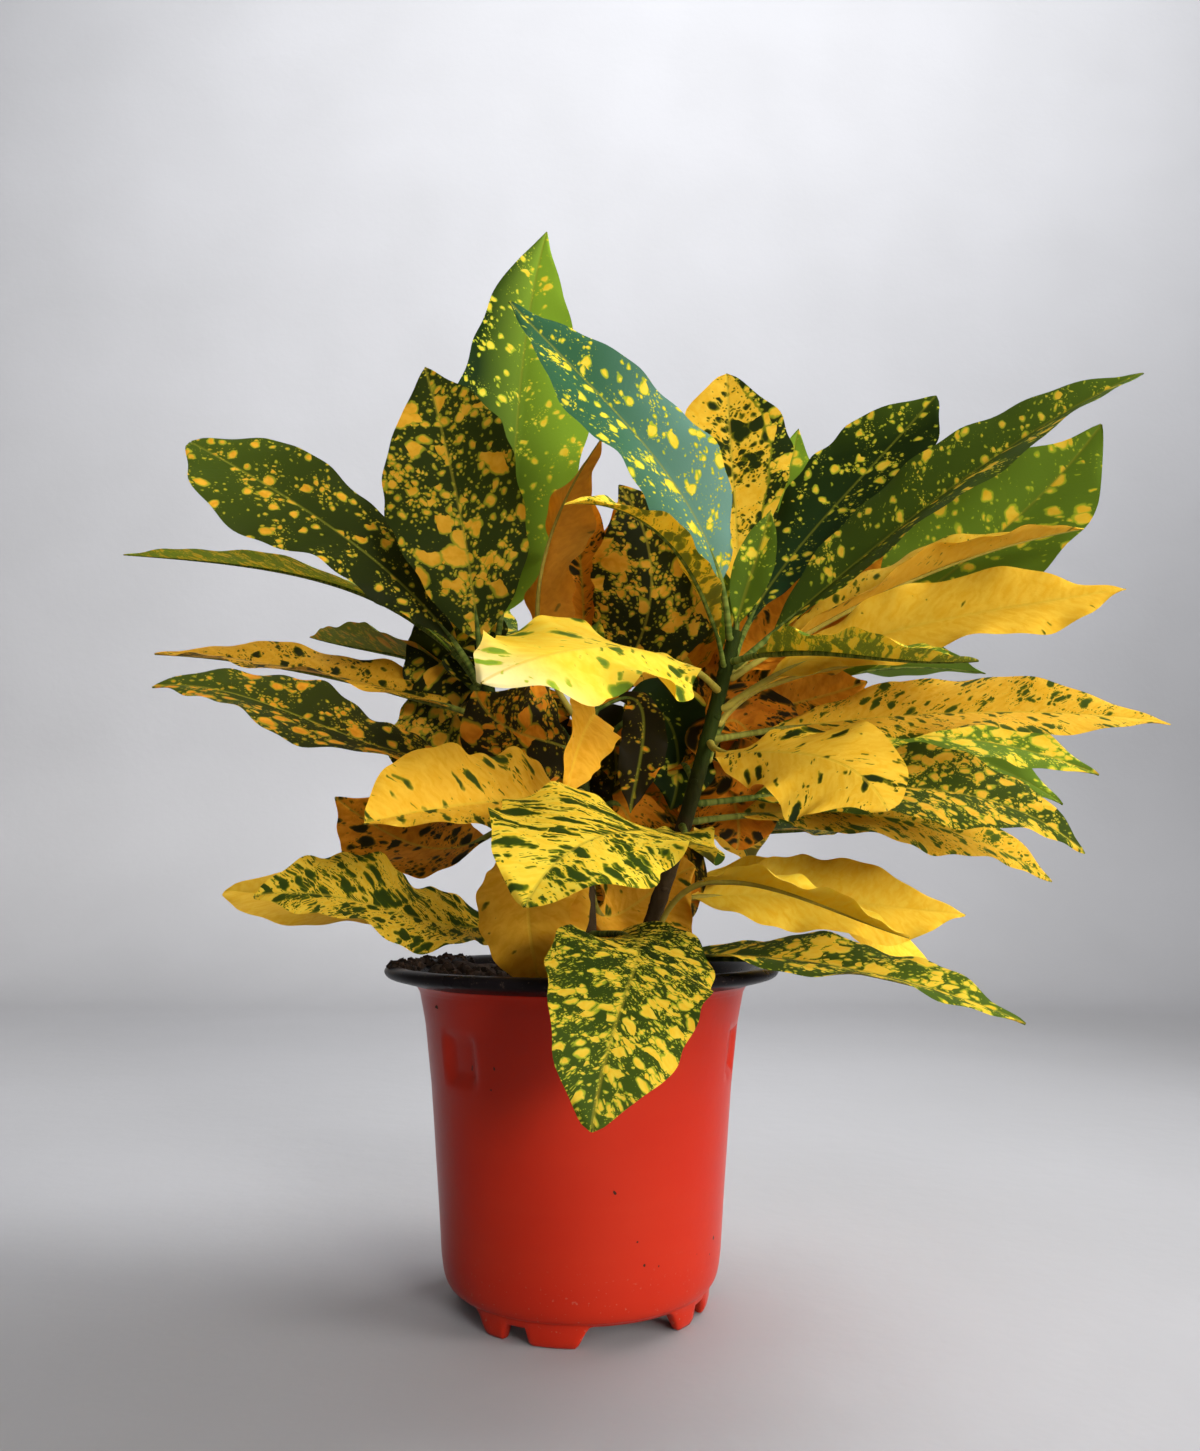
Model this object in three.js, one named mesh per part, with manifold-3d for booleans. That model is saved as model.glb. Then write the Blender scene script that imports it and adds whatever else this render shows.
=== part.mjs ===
// A potted croton: a bushy plant with long, blotched, waved leaves, in a red nursery pot.
// Millimetres, +Z up. The origin is on the surface that the pot stands on, under the pot's axis.
// The front of the plant looks along -Y.

import * as THREE from 'three';
import { mergeVertices } from 'three/addons/utils/BufferGeometryUtils.js';
import Module from 'manifold-3d';

// Driving dimensions of the pot.
const POT_HEIGHT = 104;
const LIP_RADIUS = 65;
const WALL = 1.3;
const RING_RADIUS = 41;
const RING_HEIGHT = 7;
const RING_WIDTH = 4;
const FLOOR_LEVEL = 6;
const POT_SIDES = 40;

// The wall's outer radius and height, from the foot to the flare under the lip.
const WALL_STATIONS = [[44.4, 16], [45.6, 31], [48.7, 66], [51.2, 86], [53.2, 95.5], [54.6, 98]];

// The foot ring's notches come in fours: a wide arch and a small nick in each quarter, in degrees.
const WIDE_NOTCH = { centre: 23, width: 40, top: 4.5 };
const SMALL_NOTCH = { centre: -27, width: 11, top: 3.5 };
const NOTCH_TAPER = 0.72;
const DRAIN_HOLE = { radius: 4, circle: 27, count: 8 };
const DENT = { width: 15, height: 14, depth: 0.7, level: 78, first: -46, count: 3 };

// Soil and stems.
const GAP = 0.3;
const SOIL_LEVEL = 92;
const SOIL_DOME = 3;
const HEAP = { azimuth: 150, height: 10 };
const STEM_BASE = 35;
const STEM_SIDES = 8;
const STEM_STEPS = 9;
const STEM_BEND = 0.25;

// Leaves. Each half of a blade waves, and its edge is cut by a share for each millimetre of ruffle. The
// stalk is flatter at its sides, and the rib and the tip are slimmer than the stalk by these shares.
const BLADE_THICKNESS = 0.8;
const STALK_RADIUS = 1.1;
const STALK_EDGE = 0.6;
const RIB_TAPER = 0.6;
const TIP_TAPER = 0.62;
const LEAF_RINGS = 14;
const YOUNG_LEAF_RINGS = 8;
const STALK_RINGS = 2;
const WAVES = 16;
const LOBES = 11;
const LOBE_DEPTH = 0.035;
const LEAF_GREEN = new THREE.Color(0x2c4a1c);
const LEAF_GOLD = new THREE.Color(0xf0b428);

const wasm = await Module();
wasm.setup();

const vec = (x, y, z) => new THREE.Vector3(x, y, z);
const radians = THREE.MathUtils.degToRad;

// Joins rings of points, each with the same count, into one closed skin with a cap at each end. Both
// halves of a ring are split into triangles alike, so that the two faces of a waved blade don't cross.
function skin(rings) {
  const count = rings[0].length;
  const points = rings.flat();
  const faces = [];
  const cap = (first, turn) => {
    for (let i = 1; i < count - 1; i++) {
      faces.push(...(turn ? [first, first + i + 1, first + i] : [first, first + i, first + i + 1]));
    }
  };
  for (let r = 0; r < rings.length - 1; r++) {
    const low = r * count;
    for (let i = 0; i < count; i++) {
      const next = (i + 1) % count;
      const [a, b, c, d] = [low + i, low + next, low + count + next, low + count + i];
      faces.push(...(i < count / 2 ? [a, b, c, a, c, d] : [a, b, d, b, c, d]));
    }
  }
  cap(0, true);
  cap((rings.length - 1) * count, false);
  const geometry = new THREE.BufferGeometry();
  geometry.setAttribute('position', new THREE.Float32BufferAttribute(points.flatMap((p) => p.toArray()), 3));
  geometry.setIndex(faces);
  return geometry;
}

// A closed mesh as a solid for cutting and joining. Faces that merging has squashed flat are dropped.
function solid(geometry) {
  const bare = geometry.clone();
  bare.deleteAttribute('normal');
  bare.deleteAttribute('uv');
  const merged = mergeVertices(bare, 1e-3);
  const index = merged.index.array;
  const kept = [];
  for (let i = 0; i < index.length; i += 3) {
    const [a, b, c] = index.slice(i, i + 3);
    if (a !== b && b !== c && c !== a) kept.push(a, b, c);
  }
  return new wasm.Manifold(new wasm.Mesh({
    numProp: 3,
    vertProperties: new Float32Array(merged.attributes.position.array),
    triVerts: new Uint32Array(kept),
  }));
}

function geometryOf(body) {
  const mesh = body.getMesh();
  const geometry = new THREE.BufferGeometry();
  geometry.setAttribute('position', new THREE.BufferAttribute(new Float32Array(mesh.vertProperties), 3));
  geometry.setIndex(new THREE.BufferAttribute(new Uint32Array(mesh.triVerts), 1));
  return geometry;
}

// Small pockets that joining has sealed inside a solid are filled: only its outer skin is kept.
function outerSkin(body) {
  return body.decompose().sort((one, other) => other.volume() - one.volume())[0];
}

function part(name, geometry, colour, roughness) {
  const material = new THREE.MeshStandardMaterial({ color: colour, roughness, metalness: 0 });
  const mesh = new THREE.Mesh(geometry, material);
  mesh.name = name;
  return mesh;
}

// A lathe's axis is Y, so it is turned to stand along Z.
function turned(profile, sides) {
  const points = profile.map(([radius, height]) => new THREE.Vector2(radius, height));
  return new THREE.LatheGeometry(points, sides).rotateX(Math.PI / 2);
}

// The wall's outer radius at a height.
function wallRadius(height) {
  for (let i = 1; i < WALL_STATIONS.length; i++) {
    const [[lowRadius, low], [highRadius, high]] = [WALL_STATIONS[i - 1], WALL_STATIONS[i]];
    if (height <= high) {
      return THREE.MathUtils.mapLinear(Math.max(height, low), low, high, lowRadius, highRadius);
    }
  }
  return WALL_STATIONS.at(-1)[0];
}

function pot() {
  const ringInside = RING_RADIUS - RING_WIDTH;
  const inner = WALL_STATIONS.map(([radius, height]) => [radius - WALL, height]).reverse();
  const profile = [
    [0, FLOOR_LEVEL], [ringInside - 1, FLOOR_LEVEL], [ringInside, 0], [RING_RADIUS - 0.8, 0],
    [RING_RADIUS, RING_HEIGHT], [42.2, RING_HEIGHT + 0.6], [43.6, 10.5], ...WALL_STATIONS,
    [60, 99.2], [63.8, 100.3], [LIP_RADIUS, 102.2], [64, 103.6], [61, POT_HEIGHT],
    [57.5, 103], [55, 100.6], ...inner,
    [42.2, 11.6], [40, 9], [37, FLOOR_LEVEL + WALL], [0, FLOOR_LEVEL + WALL],
  ];
  let body = solid(turned(profile, POT_SIDES));
  const notch = ({ centre, width, top }, quarter) => {
    const reach = RING_RADIUS + 4;
    const foot = Math.tan(radians(width / 2)) * reach;
    const outline = new THREE.Shape([
      new THREE.Vector2(-foot, -2), new THREE.Vector2(foot, -2),
      new THREE.Vector2(foot * NOTCH_TAPER, top), new THREE.Vector2(-foot * NOTCH_TAPER, top),
    ]);
    const cut = new THREE.ExtrudeGeometry(outline, { depth: 12, bevelEnabled: false });
    cut.rotateX(Math.PI / 2).translate(0, -reach + 12, 0).rotateZ(radians(centre + 90 * quarter));
    return solid(cut);
  };
  for (let quarter = 0; quarter < 4; quarter++) {
    body = body.subtract(notch(WIDE_NOTCH, quarter)).subtract(notch(SMALL_NOTCH, quarter));
  }
  for (let i = 0; i < DENT.count; i++) {
    const dent = new THREE.BoxGeometry(DENT.width, 4, DENT.height);
    const wall = wallRadius(DENT.level) - DENT.depth + 2;
    dent.translate(0, -wall, DENT.level).rotateZ(radians(DENT.first + (360 * i) / DENT.count));
    body = body.subtract(solid(dent));
  }
  for (let i = 0; i < DRAIN_HOLE.count; i++) {
    const hole = new THREE.CylinderGeometry(DRAIN_HOLE.radius, DRAIN_HOLE.radius, 6, 8);
    hole.rotateX(Math.PI / 2).translate(DRAIN_HOLE.circle, 0, FLOOR_LEVEL);
    hole.rotateZ(((i + 0.5) * 2 * Math.PI) / DRAIN_HOLE.count);
    body = body.subtract(solid(hole));
  }
  return part('pot', geometryOf(body), 0x8e1420, 0.35);
}

// The stems' middle lines, from inside the soil to the crown, and their radii at both ends.
const STEMS = {
  left: { line: [[-10, 4, STEM_BASE], [-10, 4, 95], [-24, 3, 154], [-36, 0, 213]], radii: [2.9, 2.1] },
  middle: { line: [[3, -9, STEM_BASE], [3, -9, 95], [1, 2, 149], [-2, 10, 199]], radii: [2.8, 2] },
  right: { line: [[19, 3, STEM_BASE], [19, 3, 97], [36, -13, 157], [51, -20, 213]], radii: [3.1, 2.3] },
  back: { line: [[9, 27, STEM_BASE], [9, 27, 95], [32, 34, 149], [44, 36, 195]], radii: [2.8, 2] },
};

function stemCurve(name) {
  return new THREE.CatmullRomCurve3(STEMS[name].line.map((p) => vec(...p)));
}

// A stem's middle line at a height: the point, its direction and the stem's radius there.
function onStem(name, height) {
  const curve = stemCurve(name);
  let [low, high] = [0, 1];
  for (let i = 0; i < 24; i++) {
    const half = (low + high) / 2;
    if (curve.getPoint(half).z < height) low = half;
    else high = half;
  }
  const [thick, thin] = STEMS[name].radii;
  const radius = THREE.MathUtils.lerp(thick, thin, low);
  return { centre: curve.getPoint(low), along: curve.getTangent(low), radius };
}

function stemSkin(name, extra) {
  const curve = stemCurve(name);
  const [thick, thin] = STEMS[name].radii;
  const rings = [];
  for (let i = 0; i <= STEM_STEPS; i++) {
    const t = i / STEM_STEPS;
    const centre = curve.getPoint(t);
    if (i === 0) centre.z -= extra;
    const along = curve.getTangent(t);
    const side = vec(0, 1, 0).cross(along).normalize();
    const front = along.clone().cross(side);
    const radius = THREE.MathUtils.lerp(thick, thin, t) + extra;
    rings.push(Array.from({ length: STEM_SIDES }, (_, k) => {
      const angle = (k / STEM_SIDES) * 2 * Math.PI;
      return centre.clone().addScaledVector(side, radius * Math.cos(angle))
        .addScaledVector(front, radius * Math.sin(angle));
    }));
  }
  return skin(rings);
}

// Young leaves stand up out of each crown, grown in one with it: tip, width.
const YOUNG_LEAVES = {
  left: [[-44, 12, 238, 9], [-31, 3, 246, 10]],
  middle: [[-8, 6, 229, 10], [6, 18, 227, 9]],
  right: [[62, -30, 251, 13], [42, -10, 243, 10]],
  back: [[34, 40, 224, 9], [46, 48, 218, 9]],
};

function stem(name) {
  let body = solid(stemSkin(name, 0));
  const top = stemCurve(name).getPoint(0.98);
  for (const [x, y, z, width] of YOUNG_LEAVES[name]) {
    const tip = vec(x, y, z);
    const line = [top, top.clone().lerp(tip, 0.35), top.clone().lerp(tip, 0.7), tip];
    line[1].z += 1.5;
    const leaf = {
      line, width, face: vec(0, -1, 0.3), stalk: 0.12, fold: 25, ruffle: 0.4, belly: 0.5, fill: 0.8, twist: 0,
    };
    body = body.add(solid(leafSkin(leaf, YOUNG_LEAF_RINGS)));
  }
  return part(`stem_${name}`, geometryOf(outerSkin(body)), 0x7a6a45, 0.75);
}

// Potting soil: it fills the pot, a little domed, with a heap against the rim at the back left.
function soil() {
  const floor = FLOOR_LEVEL + WALL + GAP;
  const sides = 28;
  const ring = (radius, height) => Array.from({ length: sides }, (_, k) => {
    const angle = (k / sides) * 2 * Math.PI;
    return vec(radius * Math.cos(angle), radius * Math.sin(angle), height);
  });
  const side = [[36.6, floor], [39.6, 9.6], [41.6, 12.2]];
  for (const height of [16.8, 31.2, 66, 86]) side.push([wallRadius(height) - WALL - 3 * GAP, height]);
  const level = (point, reach) => {
    const turn = Math.atan2(point.y, point.x) - radians(HEAP.azimuth);
    const heap = HEAP.height * Math.max(0, Math.cos(turn)) ** 3 * reach ** 3;
    const crumbs = 0.9 * Math.sin(point.x * 0.31 + 1) * Math.cos(point.y * 0.27);
    return SOIL_LEVEL + SOIL_DOME * (1 - reach ** 2) + heap + crumbs;
  };
  const rings = side.map(([radius, height]) => ring(radius, height));
  for (const reach of [1, 0.8, 0.55, 0.3, 0.06]) {
    rings.push(ring(52, 0).map((point) => {
      const height = level(point, reach);
      const radius = (wallRadius(height) - WALL - 3 * GAP) * reach;
      return point.setLength(radius).setZ(height);
    }));
  }
  let body = solid(skin(rings));
  for (const name of Object.keys(STEMS)) body = body.subtract(solid(stemSkin(name, GAP)));
  return part('soil', geometryOf(body), 0x2e241c, 0.95);
}

// The cubic curve through a leaf's four points, with t counted along its chords.
function leafCurve(line) {
  const knots = [0];
  for (let i = 1; i < 4; i++) knots.push(knots[i - 1] + line[i].distanceTo(line[i - 1]));
  const total = knots[3];
  knots.forEach((_, i) => { knots[i] /= total; });
  return (t) => {
    const point = vec(0, 0, 0);
    for (let i = 0; i < 4; i++) {
      let weight = 1;
      for (let j = 0; j < 4; j++) if (j !== i) weight *= (t - knots[j]) / (knots[i] - knots[j]);
      point.addScaledVector(line[i], weight);
    }
    return point;
  };
}

// A leaf's skin: a round stalk that widens into a thin blade with a rib, folded and waved.
// Each ring has three points across the upper face and three across the lower.
function leafSkin(leaf, ringCount) {
  const { line, width, face, stalk, fold, ruffle, belly, fill, twist, outward } = leaf;
  const at = leafCurve(line);
  const fullest = Math.log(0.5) / Math.log(belly);
  const rings = [];
  for (let r = 0; r < ringCount; r++) {
    const blade = Math.max(0, (r - STALK_RINGS + 1) / (ringCount - STALK_RINGS));
    const t = r < STALK_RINGS ? (stalk * r) / (STALK_RINGS - 1) : stalk + (1 - stalk) * blade;
    const s = (t - stalk) / (1 - stalk);
    const centre = at(t);
    const along = r === 0 && outward ? outward.clone() : at(t + 0.01).sub(at(t - 0.01)).normalize();
    const up = face.clone().addScaledVector(along, -face.dot(along)).normalize();
    up.applyAxisAngle(along, radians(twist) * Math.max(0, s));
    const across = along.clone().cross(up);
    const spread = s <= 0 ? 0 : Math.sin(Math.PI * s ** fullest) ** fill;
    const half = (side) => {
      const lobes = 1 + LOBE_DEPTH * ruffle * Math.sin(s * LOBES + side * 2 + width);
      return Math.max(STALK_RADIUS * (1 - TIP_TAPER * Math.max(s, 0)), (width / 2) * spread * lobes);
    };
    const rib = STALK_RADIUS * (1 - RIB_TAPER * Math.max(s, 0));
    const edge = s <= 0 ? STALK_RADIUS * STALK_EDGE : BLADE_THICKNESS / 2;
    const ribTop = s <= 0 ? rib : BLADE_THICKNESS / 2;
    const lift = (side) => {
      if (s <= 0) return 0;
      const wave = ruffle * Math.sin(s * WAVES + side * 1.3 + width) * Math.sin(Math.PI * s);
      return half(side) * Math.sin(radians(fold)) + wave;
    };
    const point = (side, rise) => centre.clone()
      .addScaledVector(across, side * half(side)).addScaledVector(up, rise);
    rings.push([
      point(-1, lift(-1) + edge), point(0, ribTop), point(1, lift(1) + edge),
      point(1, lift(1) - edge), point(0, -rib), point(-1, lift(-1) - edge),
    ]);
  }
  return skin(rings);
}

// The big leaves of each stem: name, height of the joint, stalk's share of the length, two points on
// the rib, the tip, the width, where the upper face looks, fold, ruffle, how far along it is fullest,
// how square its ends are (less is squarer), twist, and how much of it is gold.
const LEAVES = {
  left: [
    ['back_tall', 201, 0.14, [-28, 12, 250], [-25, 18, 313], [-15, 20, 385], 50,
      [2, -10, 1], 18, 2, 0.43, 0.8, 0, 0.12],
    ['speckled_upright', 203, 0.1, [-38, -8, 231], [-45, -12, 269], [-57, -6, 314], 48,
      [-1, -10, 1], 8, 2, 0.46, 0.8, 0, 0.42],
    ['high', 200, 0.1, [-61, 2, 232], [-100, -4, 262], [-142, 0, 288], 46,
      [3, -8, 4], 5, 2.5, 0.66, 0.55, 0, 0.25],
    ['thin', 196, 0.12, [-75, 24, 235], [-126, 38, 253], [-185, 46, 261], 32,
      [1, -1, 10], 12, 1, 0.5, 0.8, 0, 0.12],
    ['back_small', 192, 0.14, [-55, 32, 212], [-83, 58, 224], [-119, 82, 236], 38,
      [2, 1, 10], 15, 1.5, 0.5, 0.8, 0, 0.3],
    ['yellow_edge', 187, 0.12, [-68, 20, 200], [-115, 26, 211], [-162, 28, 216], 40,
      [1, -4, 9], 14, 2, 0.5, 0.8, 0, 0.85],
    ['dark_broad', 177, 0.1, [-52, -16, 171], [-91, -26, 183], [-137, -30, 192], 42,
      [0, -5, 9], 10, 2, 0.5, 0.65, 0, 0.36],
    ['brown', 152, 0.12, [-55, 28, 143], [-74, 42, 149], [-98, 52, 164], 40,
      [2, -8, 5], 8, 2, 0.5, 0.8, 0, 0.75],
    ['low_speckled', 121, 0.12, [-50, -28, 119], [-74, -44, 126], [-94, -52, 126], 42,
      [0, -6, 8], 12, 2.5, 0.5, 0.6, 0, 0.48],
    ['back_orange', 117, 0.12, [-71, 52, 119], [-113, 76, 124], [-153, 92, 128], 40,
      [0, -5, 8], 8, 1.5, 0.7, 0.45, 0, 0.95],
    ['rear_high', 195, 0.12, [-42, 46, 232], [-62, 82, 257], [-86, 112, 265], 42,
      [-1, 5, 10], 12, 2, 0.5, 0.8, 0, 0.3],
    ['rear_low', 145, 0.14, [-34, 42, 166], [-54, 80, 175], [-76, 112, 165], 42,
      [-1, 4, 10], 12, 2, 0.5, 0.8, 0, 0.5],
  ],
  middle: [
    ['yellow_folded', 161, 0.16, [-21, -48, 154], [-40, -66, 150], [-56, -82, 145], 34,
      [1, -8, 6], 30, 3, 0.6, 0.55, 0, 0.9],
    ['dark_left', 173, 0.14, [-12, -12, 177], [-24, -22, 180], [-34, -30, 191], 40,
      [-1, -10, 2], 8, 2, 0.5, 0.8, 0, 0.62],
    ['orange_upright', 189, 0.12, [-15, -6, 224], [-9, -14, 252], [7, -22, 280], 36,
      [9, 4, 1], 15, 4, 0.5, 0.8, 0, 0.98],
    ['spotted_back', 192, 0.12, [22, 20, 223], [25, 22, 251], [13, 18, 279], 46,
      [0, -10, 1], 5, 2, 0.5, 0.8, 0, 0.5],
    ['hanging_yellow', 179, 0.16, [3, -34, 181], [-1, -50, 169], [-4, -58, 153], 20,
      [8, -5, 4], 25, 2, 0.5, 0.8, 0, 0.95],
    ['shade_front', 188, 0.14, [19, 2, 193], [20, -7, 174], [16, -14, 153], 16,
      [0, -10, 2], 8, 2, 0.5, 0.8, 0, 0.2],
    ['shade_right', 173, 0.14, [30, 7, 187], [33, 2, 173], [30, -2, 155], 32,
      [1, -10, 2], 8, 2, 0.5, 0.8, 0, 0.15],
    ['low_tan', 141, 0.16, [-15, -31, 135], [-15, -42, 118], [-11, -40, 98], 30,
      [-2, -10, 3], 5, 2, 0.5, 0.5, 0, 0.95],
    ['low_back', 129, 0.14, [10, 12, 119], [24, 18, 127], [40, 17, 136], 44,
      [0, -9, 4], 8, 2, 0.5, 0.8, 0, 0.85],
    ['front_droop', 113, 0.12, [17, -52, 111], [9, -88, 92], [4, -98, 71], 44,
      [1, -9, 4], 3, 2, 0.5, 0.58, 0, 0.48],
    ['rear_high', 195, 0.12, [0, 48, 229], [6, 84, 251], [14, 118, 257], 42,
      [0, 5, 10], 12, 2, 0.5, 0.8, 0, 0.25],
    ['rear_low', 154, 0.14, [-6, 50, 169], [-12, 88, 173], [-16, 118, 157], 44,
      [0, 4, 10], 12, 2, 0.5, 0.8, 0, 0.35],
  ],
  right: [
    ['blue_gloss', 210, 0.14, [41, -31, 239], [12, -42, 278], [-23, -50, 313], 46,
      [4, -8, 4], 12, 2, 0.45, 0.8, 0, 0.15],
    ['gold_upright', 210, 0.12, [55, 0, 240], [55, 10, 282], [54, 12, 321], 42,
      [0, -10, 1], 8, 2, 0.68, 0.6, 0, 0.72],
    ['dark', 205, 0.1, [74, 4, 245], [104, 10, 280], [132, 10, 311], 44,
      [-3, -8, 4], 8, 2, 0.66, 0.7, 0, 0.2],
    ['long', 202, 0.1, [93, -20, 237], [135, -30, 268], [186, -34, 297], 38,
      [-3, -6, 7], 22, 1.5, 0.5, 0.8, 0, 0.2],
    ['thin_yellow', 198, 0.14, [101, -11, 228], [138, -15, 242], [170, -18, 249], 30,
      [0, -3, 10], 30, 2, 0.5, 0.8, 0, 0.88],
    ['yellow', 188, 0.14, [91, -32, 207], [128, -45, 213], [167, -48, 219], 35,
      [0, -8, 6], 10, 3, 0.5, 0.8, 0, 0.98],
    ['thin_green', 203, 0.1, [71, -42, 201], [93, -65, 193], [110, -77, 190], 28,
      [0, -1, 10], 25, 2, 0.5, 0.8, 0, 0.46],
    ['mid_yellow', 183, 0.22, [72, -4, 201], [98, -4, 206], [126, -5, 210], 24,
      [0, 1, 10], 10, 1.5, 0.5, 0.8, 0, 0.9],
    ['inner_orange', 200, 0.12, [77, 8, 224], [95, 9, 239], [110, 8, 250], 34,
      [-2, -8, 5], 8, 2, 0.5, 0.8, 0, 0.85],
    ['front_gold', 193, 0.16, [22, -60, 196], [-1, -90, 190], [-22, -116, 176], 50,
      [0, -7, 7], -6, 4, 0.6, 0.7, 0, 0.93],
    ['front_yellow', 176, 0.12, [58, -52, 168], [76, -68, 161], [84, -74, 149], 42,
      [0, -8, 6], -6, 3, 0.7, 0.5, 0, 0.95],
    ['speckled_long', 178, 0.14, [94, -8, 185], [140, -22, 185], [187, -30, 180], 42,
      [0, -6, 8], 10, 2, 0.5, 0.8, 0, 0.75],
    ['low_speckled', 157, 0.14, [91, -4, 162], [130, -8, 159], [167, -8, 140], 44,
      [0, -7, 8], 10, 2, 0.5, 0.8, 0, 0.6],
    ['low_under', 151, 0.14, [95, 16, 155], [133, 22, 149], [169, 24, 131], 38,
      [0, -7, 8], 10, 2, 0.5, 0.8, 0, 0.75],
    ['low_yellow', 111, 0.3, [48, -28, 131], [72, -38, 124], [97, -44, 114], 21,
      [1, 0, 10], 25, 2, 0.5, 0.8, 0, 0.97],
    ['low_long', 105, 0.12, [50, -34, 108], [85, -54, 104], [121, -66, 92], 40,
      [0, -2, 10], 10, 2, 0.47, 0.68, 0, 0.48],
    ['front_speckled', 149, 0.12, [24, -58, 144], [6, -90, 141], [-11, -118, 124], 56,
      [-1, -7, 7], 6, 4, 0.66, 0.7, 0, 0.66],
    ['arching_young', 201, 0.12, [35, -45, 224], [18, -65, 235], [-4, -80, 234], 18,
      [3, -3, 9], 20, 1.5, 0.5, 0.8, 0, 0.65],
    ['blotched', 171, 0.14, [75, 12, 194], [90, 12, 198], [102, 11, 202], 32,
      [0, -10, 1], 8, 2, 0.5, 0.8, 0, 0.8],
  ],
  back: [
    ['light_green', 192, 0.12, [66, 40, 237], [80, 52, 281], [90, 60, 321], 36,
      [-1, -10, 1], 8, 2, 0.5, 0.8, 0, 0.15],
    ['broad_green', 180, 0.12, [118, 14, 231], [157, 6, 261], [187, -2, 294], 52,
      [-3, -9, 3], 8, 2, 0.62, 0.8, 0, 0.25],
    ['small_green', 187, 0.14, [110, 54, 215], [138, 64, 219], [166, 68, 217], 38,
      [0, 2, 10], 12, 2, 0.5, 0.8, 0, 0.06],
    ['speckled', 171, 0.14, [98, 50, 200], [130, 55, 206], [160, 57, 204], 34,
      [0, -3, 10], 12, 2, 0.5, 0.8, 0, 0.7],
    ['far_one', 161, 0.14, [115, 27, 184], [158, 29, 181], [186, 18, 169], 40,
      [0, -7, 8], 10, 2, 0.55, 0.8, 0, 0.35],
    ['far_two', 155, 0.14, [113, 40, 182], [155, 46, 177], [181, 38, 160], 40,
      [0, -7, 8], 10, 2, 0.5, 0.8, 0, 0.3],
    ['dark_edge', 149, 0.14, [70, 49, 151], [100, 63, 153], [130, 71, 157], 34,
      [0, -3, 10], 10, 2, 0.5, 0.8, 0, 0.4],
    ['low_yellow', 124, 0.14, [69, 31, 126], [103, 33, 123], [142, 38, 119], 36,
      [0, -8, 6], 8, 3, 0.5, 0.8, 0, 0.98],
    ['low_pale', 113, 0.16, [59, 44, 130], [103, 54, 119], [137, 60, 95], 36,
      [0, -6, 8], 8, 2, 0.5, 0.8, 0, 0.97],
    ['rear_high', 189, 0.12, [56, 64, 217], [76, 92, 235], [94, 118, 237], 40,
      [1, 5, 10], 12, 2, 0.5, 0.8, 0, 0.3],
    ['rear_low', 139, 0.14, [44, 62, 151], [60, 92, 155], [74, 118, 139], 42,
      [1, 4, 10], 12, 2, 0.5, 0.8, 0, 0.6],
  ],
};

function leaf(stemName, row) {
  const [name, height, stalk, first, second, tip, width, face, fold, ruffle, belly, fill, twist, gold] = row;
  const { centre, along, radius } = onStem(stemName, height);
  const outward = vec(first[0] - centre.x, first[1] - centre.y, 0).normalize();
  outward.addScaledVector(along, -outward.dot(along)).normalize();
  const root = centre.clone().addScaledVector(outward, radius + GAP + STEM_BEND);
  const line = [root, vec(...first), vec(...second), vec(...tip)];
  const upper = vec(...face).normalize();
  const shape = { line, width, face: upper, stalk, fold, ruffle, belly, fill, twist, outward };
  const colour = LEAF_GREEN.clone().lerp(LEAF_GOLD, gold);
  return part(`leaf_${stemName}_${name}`, leafSkin(shape, LEAF_RINGS), colour, 0.4);
}

const group = new THREE.Group();
group.add(pot(), soil());
for (const name of Object.keys(STEMS)) group.add(stem(name));
for (const [stemName, rows] of Object.entries(LEAVES)) {
  for (const row of rows) group.add(leaf(stemName, row));
}

export default group;
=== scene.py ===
import math
import random
from functools import partialmethod
from types import SimpleNamespace

import bmesh
import bpy
import numpy as np
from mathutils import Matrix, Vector
from numpy.linalg import norm


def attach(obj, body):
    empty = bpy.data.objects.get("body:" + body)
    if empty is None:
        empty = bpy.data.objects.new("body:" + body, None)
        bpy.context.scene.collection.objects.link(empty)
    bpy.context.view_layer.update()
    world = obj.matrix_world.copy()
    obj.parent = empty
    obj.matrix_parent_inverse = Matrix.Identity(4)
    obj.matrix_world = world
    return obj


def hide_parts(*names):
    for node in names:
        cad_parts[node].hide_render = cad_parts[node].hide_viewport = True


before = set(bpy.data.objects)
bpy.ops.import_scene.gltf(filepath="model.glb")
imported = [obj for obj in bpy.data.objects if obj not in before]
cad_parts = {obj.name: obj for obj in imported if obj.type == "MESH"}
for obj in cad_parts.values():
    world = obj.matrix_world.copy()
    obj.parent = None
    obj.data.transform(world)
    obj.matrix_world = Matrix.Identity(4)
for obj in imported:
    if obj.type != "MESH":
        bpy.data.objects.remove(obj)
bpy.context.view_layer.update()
scene = bpy.context.scene

# Camera and room
# The camera stands just above the pot's lip and looks slightly up. The plant stands on a pale floor that
# curves up into a pale wall far behind it, lit mostly from the right and softly from above and in front.

MM = 0.001
SENSOR, FOCUS, PICTURE_HEIGHT = 36, 1050, 1451
CAMERA_TILT = 9.07
camera_data = bpy.data.cameras.new("camera")
camera_data.sensor_width = SENSOR
camera_data.lens = SENSOR * FOCUS / PICTURE_HEIGHT
camera = bpy.data.objects.new("camera", camera_data)
camera.location = (6 * MM, -359 * MM, 127 * MM)
camera.rotation_euler = (math.radians(90 + CAMERA_TILT), 0, 0)
scene.collection.objects.link(camera)
scene.camera = camera
scene.view_settings.view_transform = "Standard"


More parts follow.
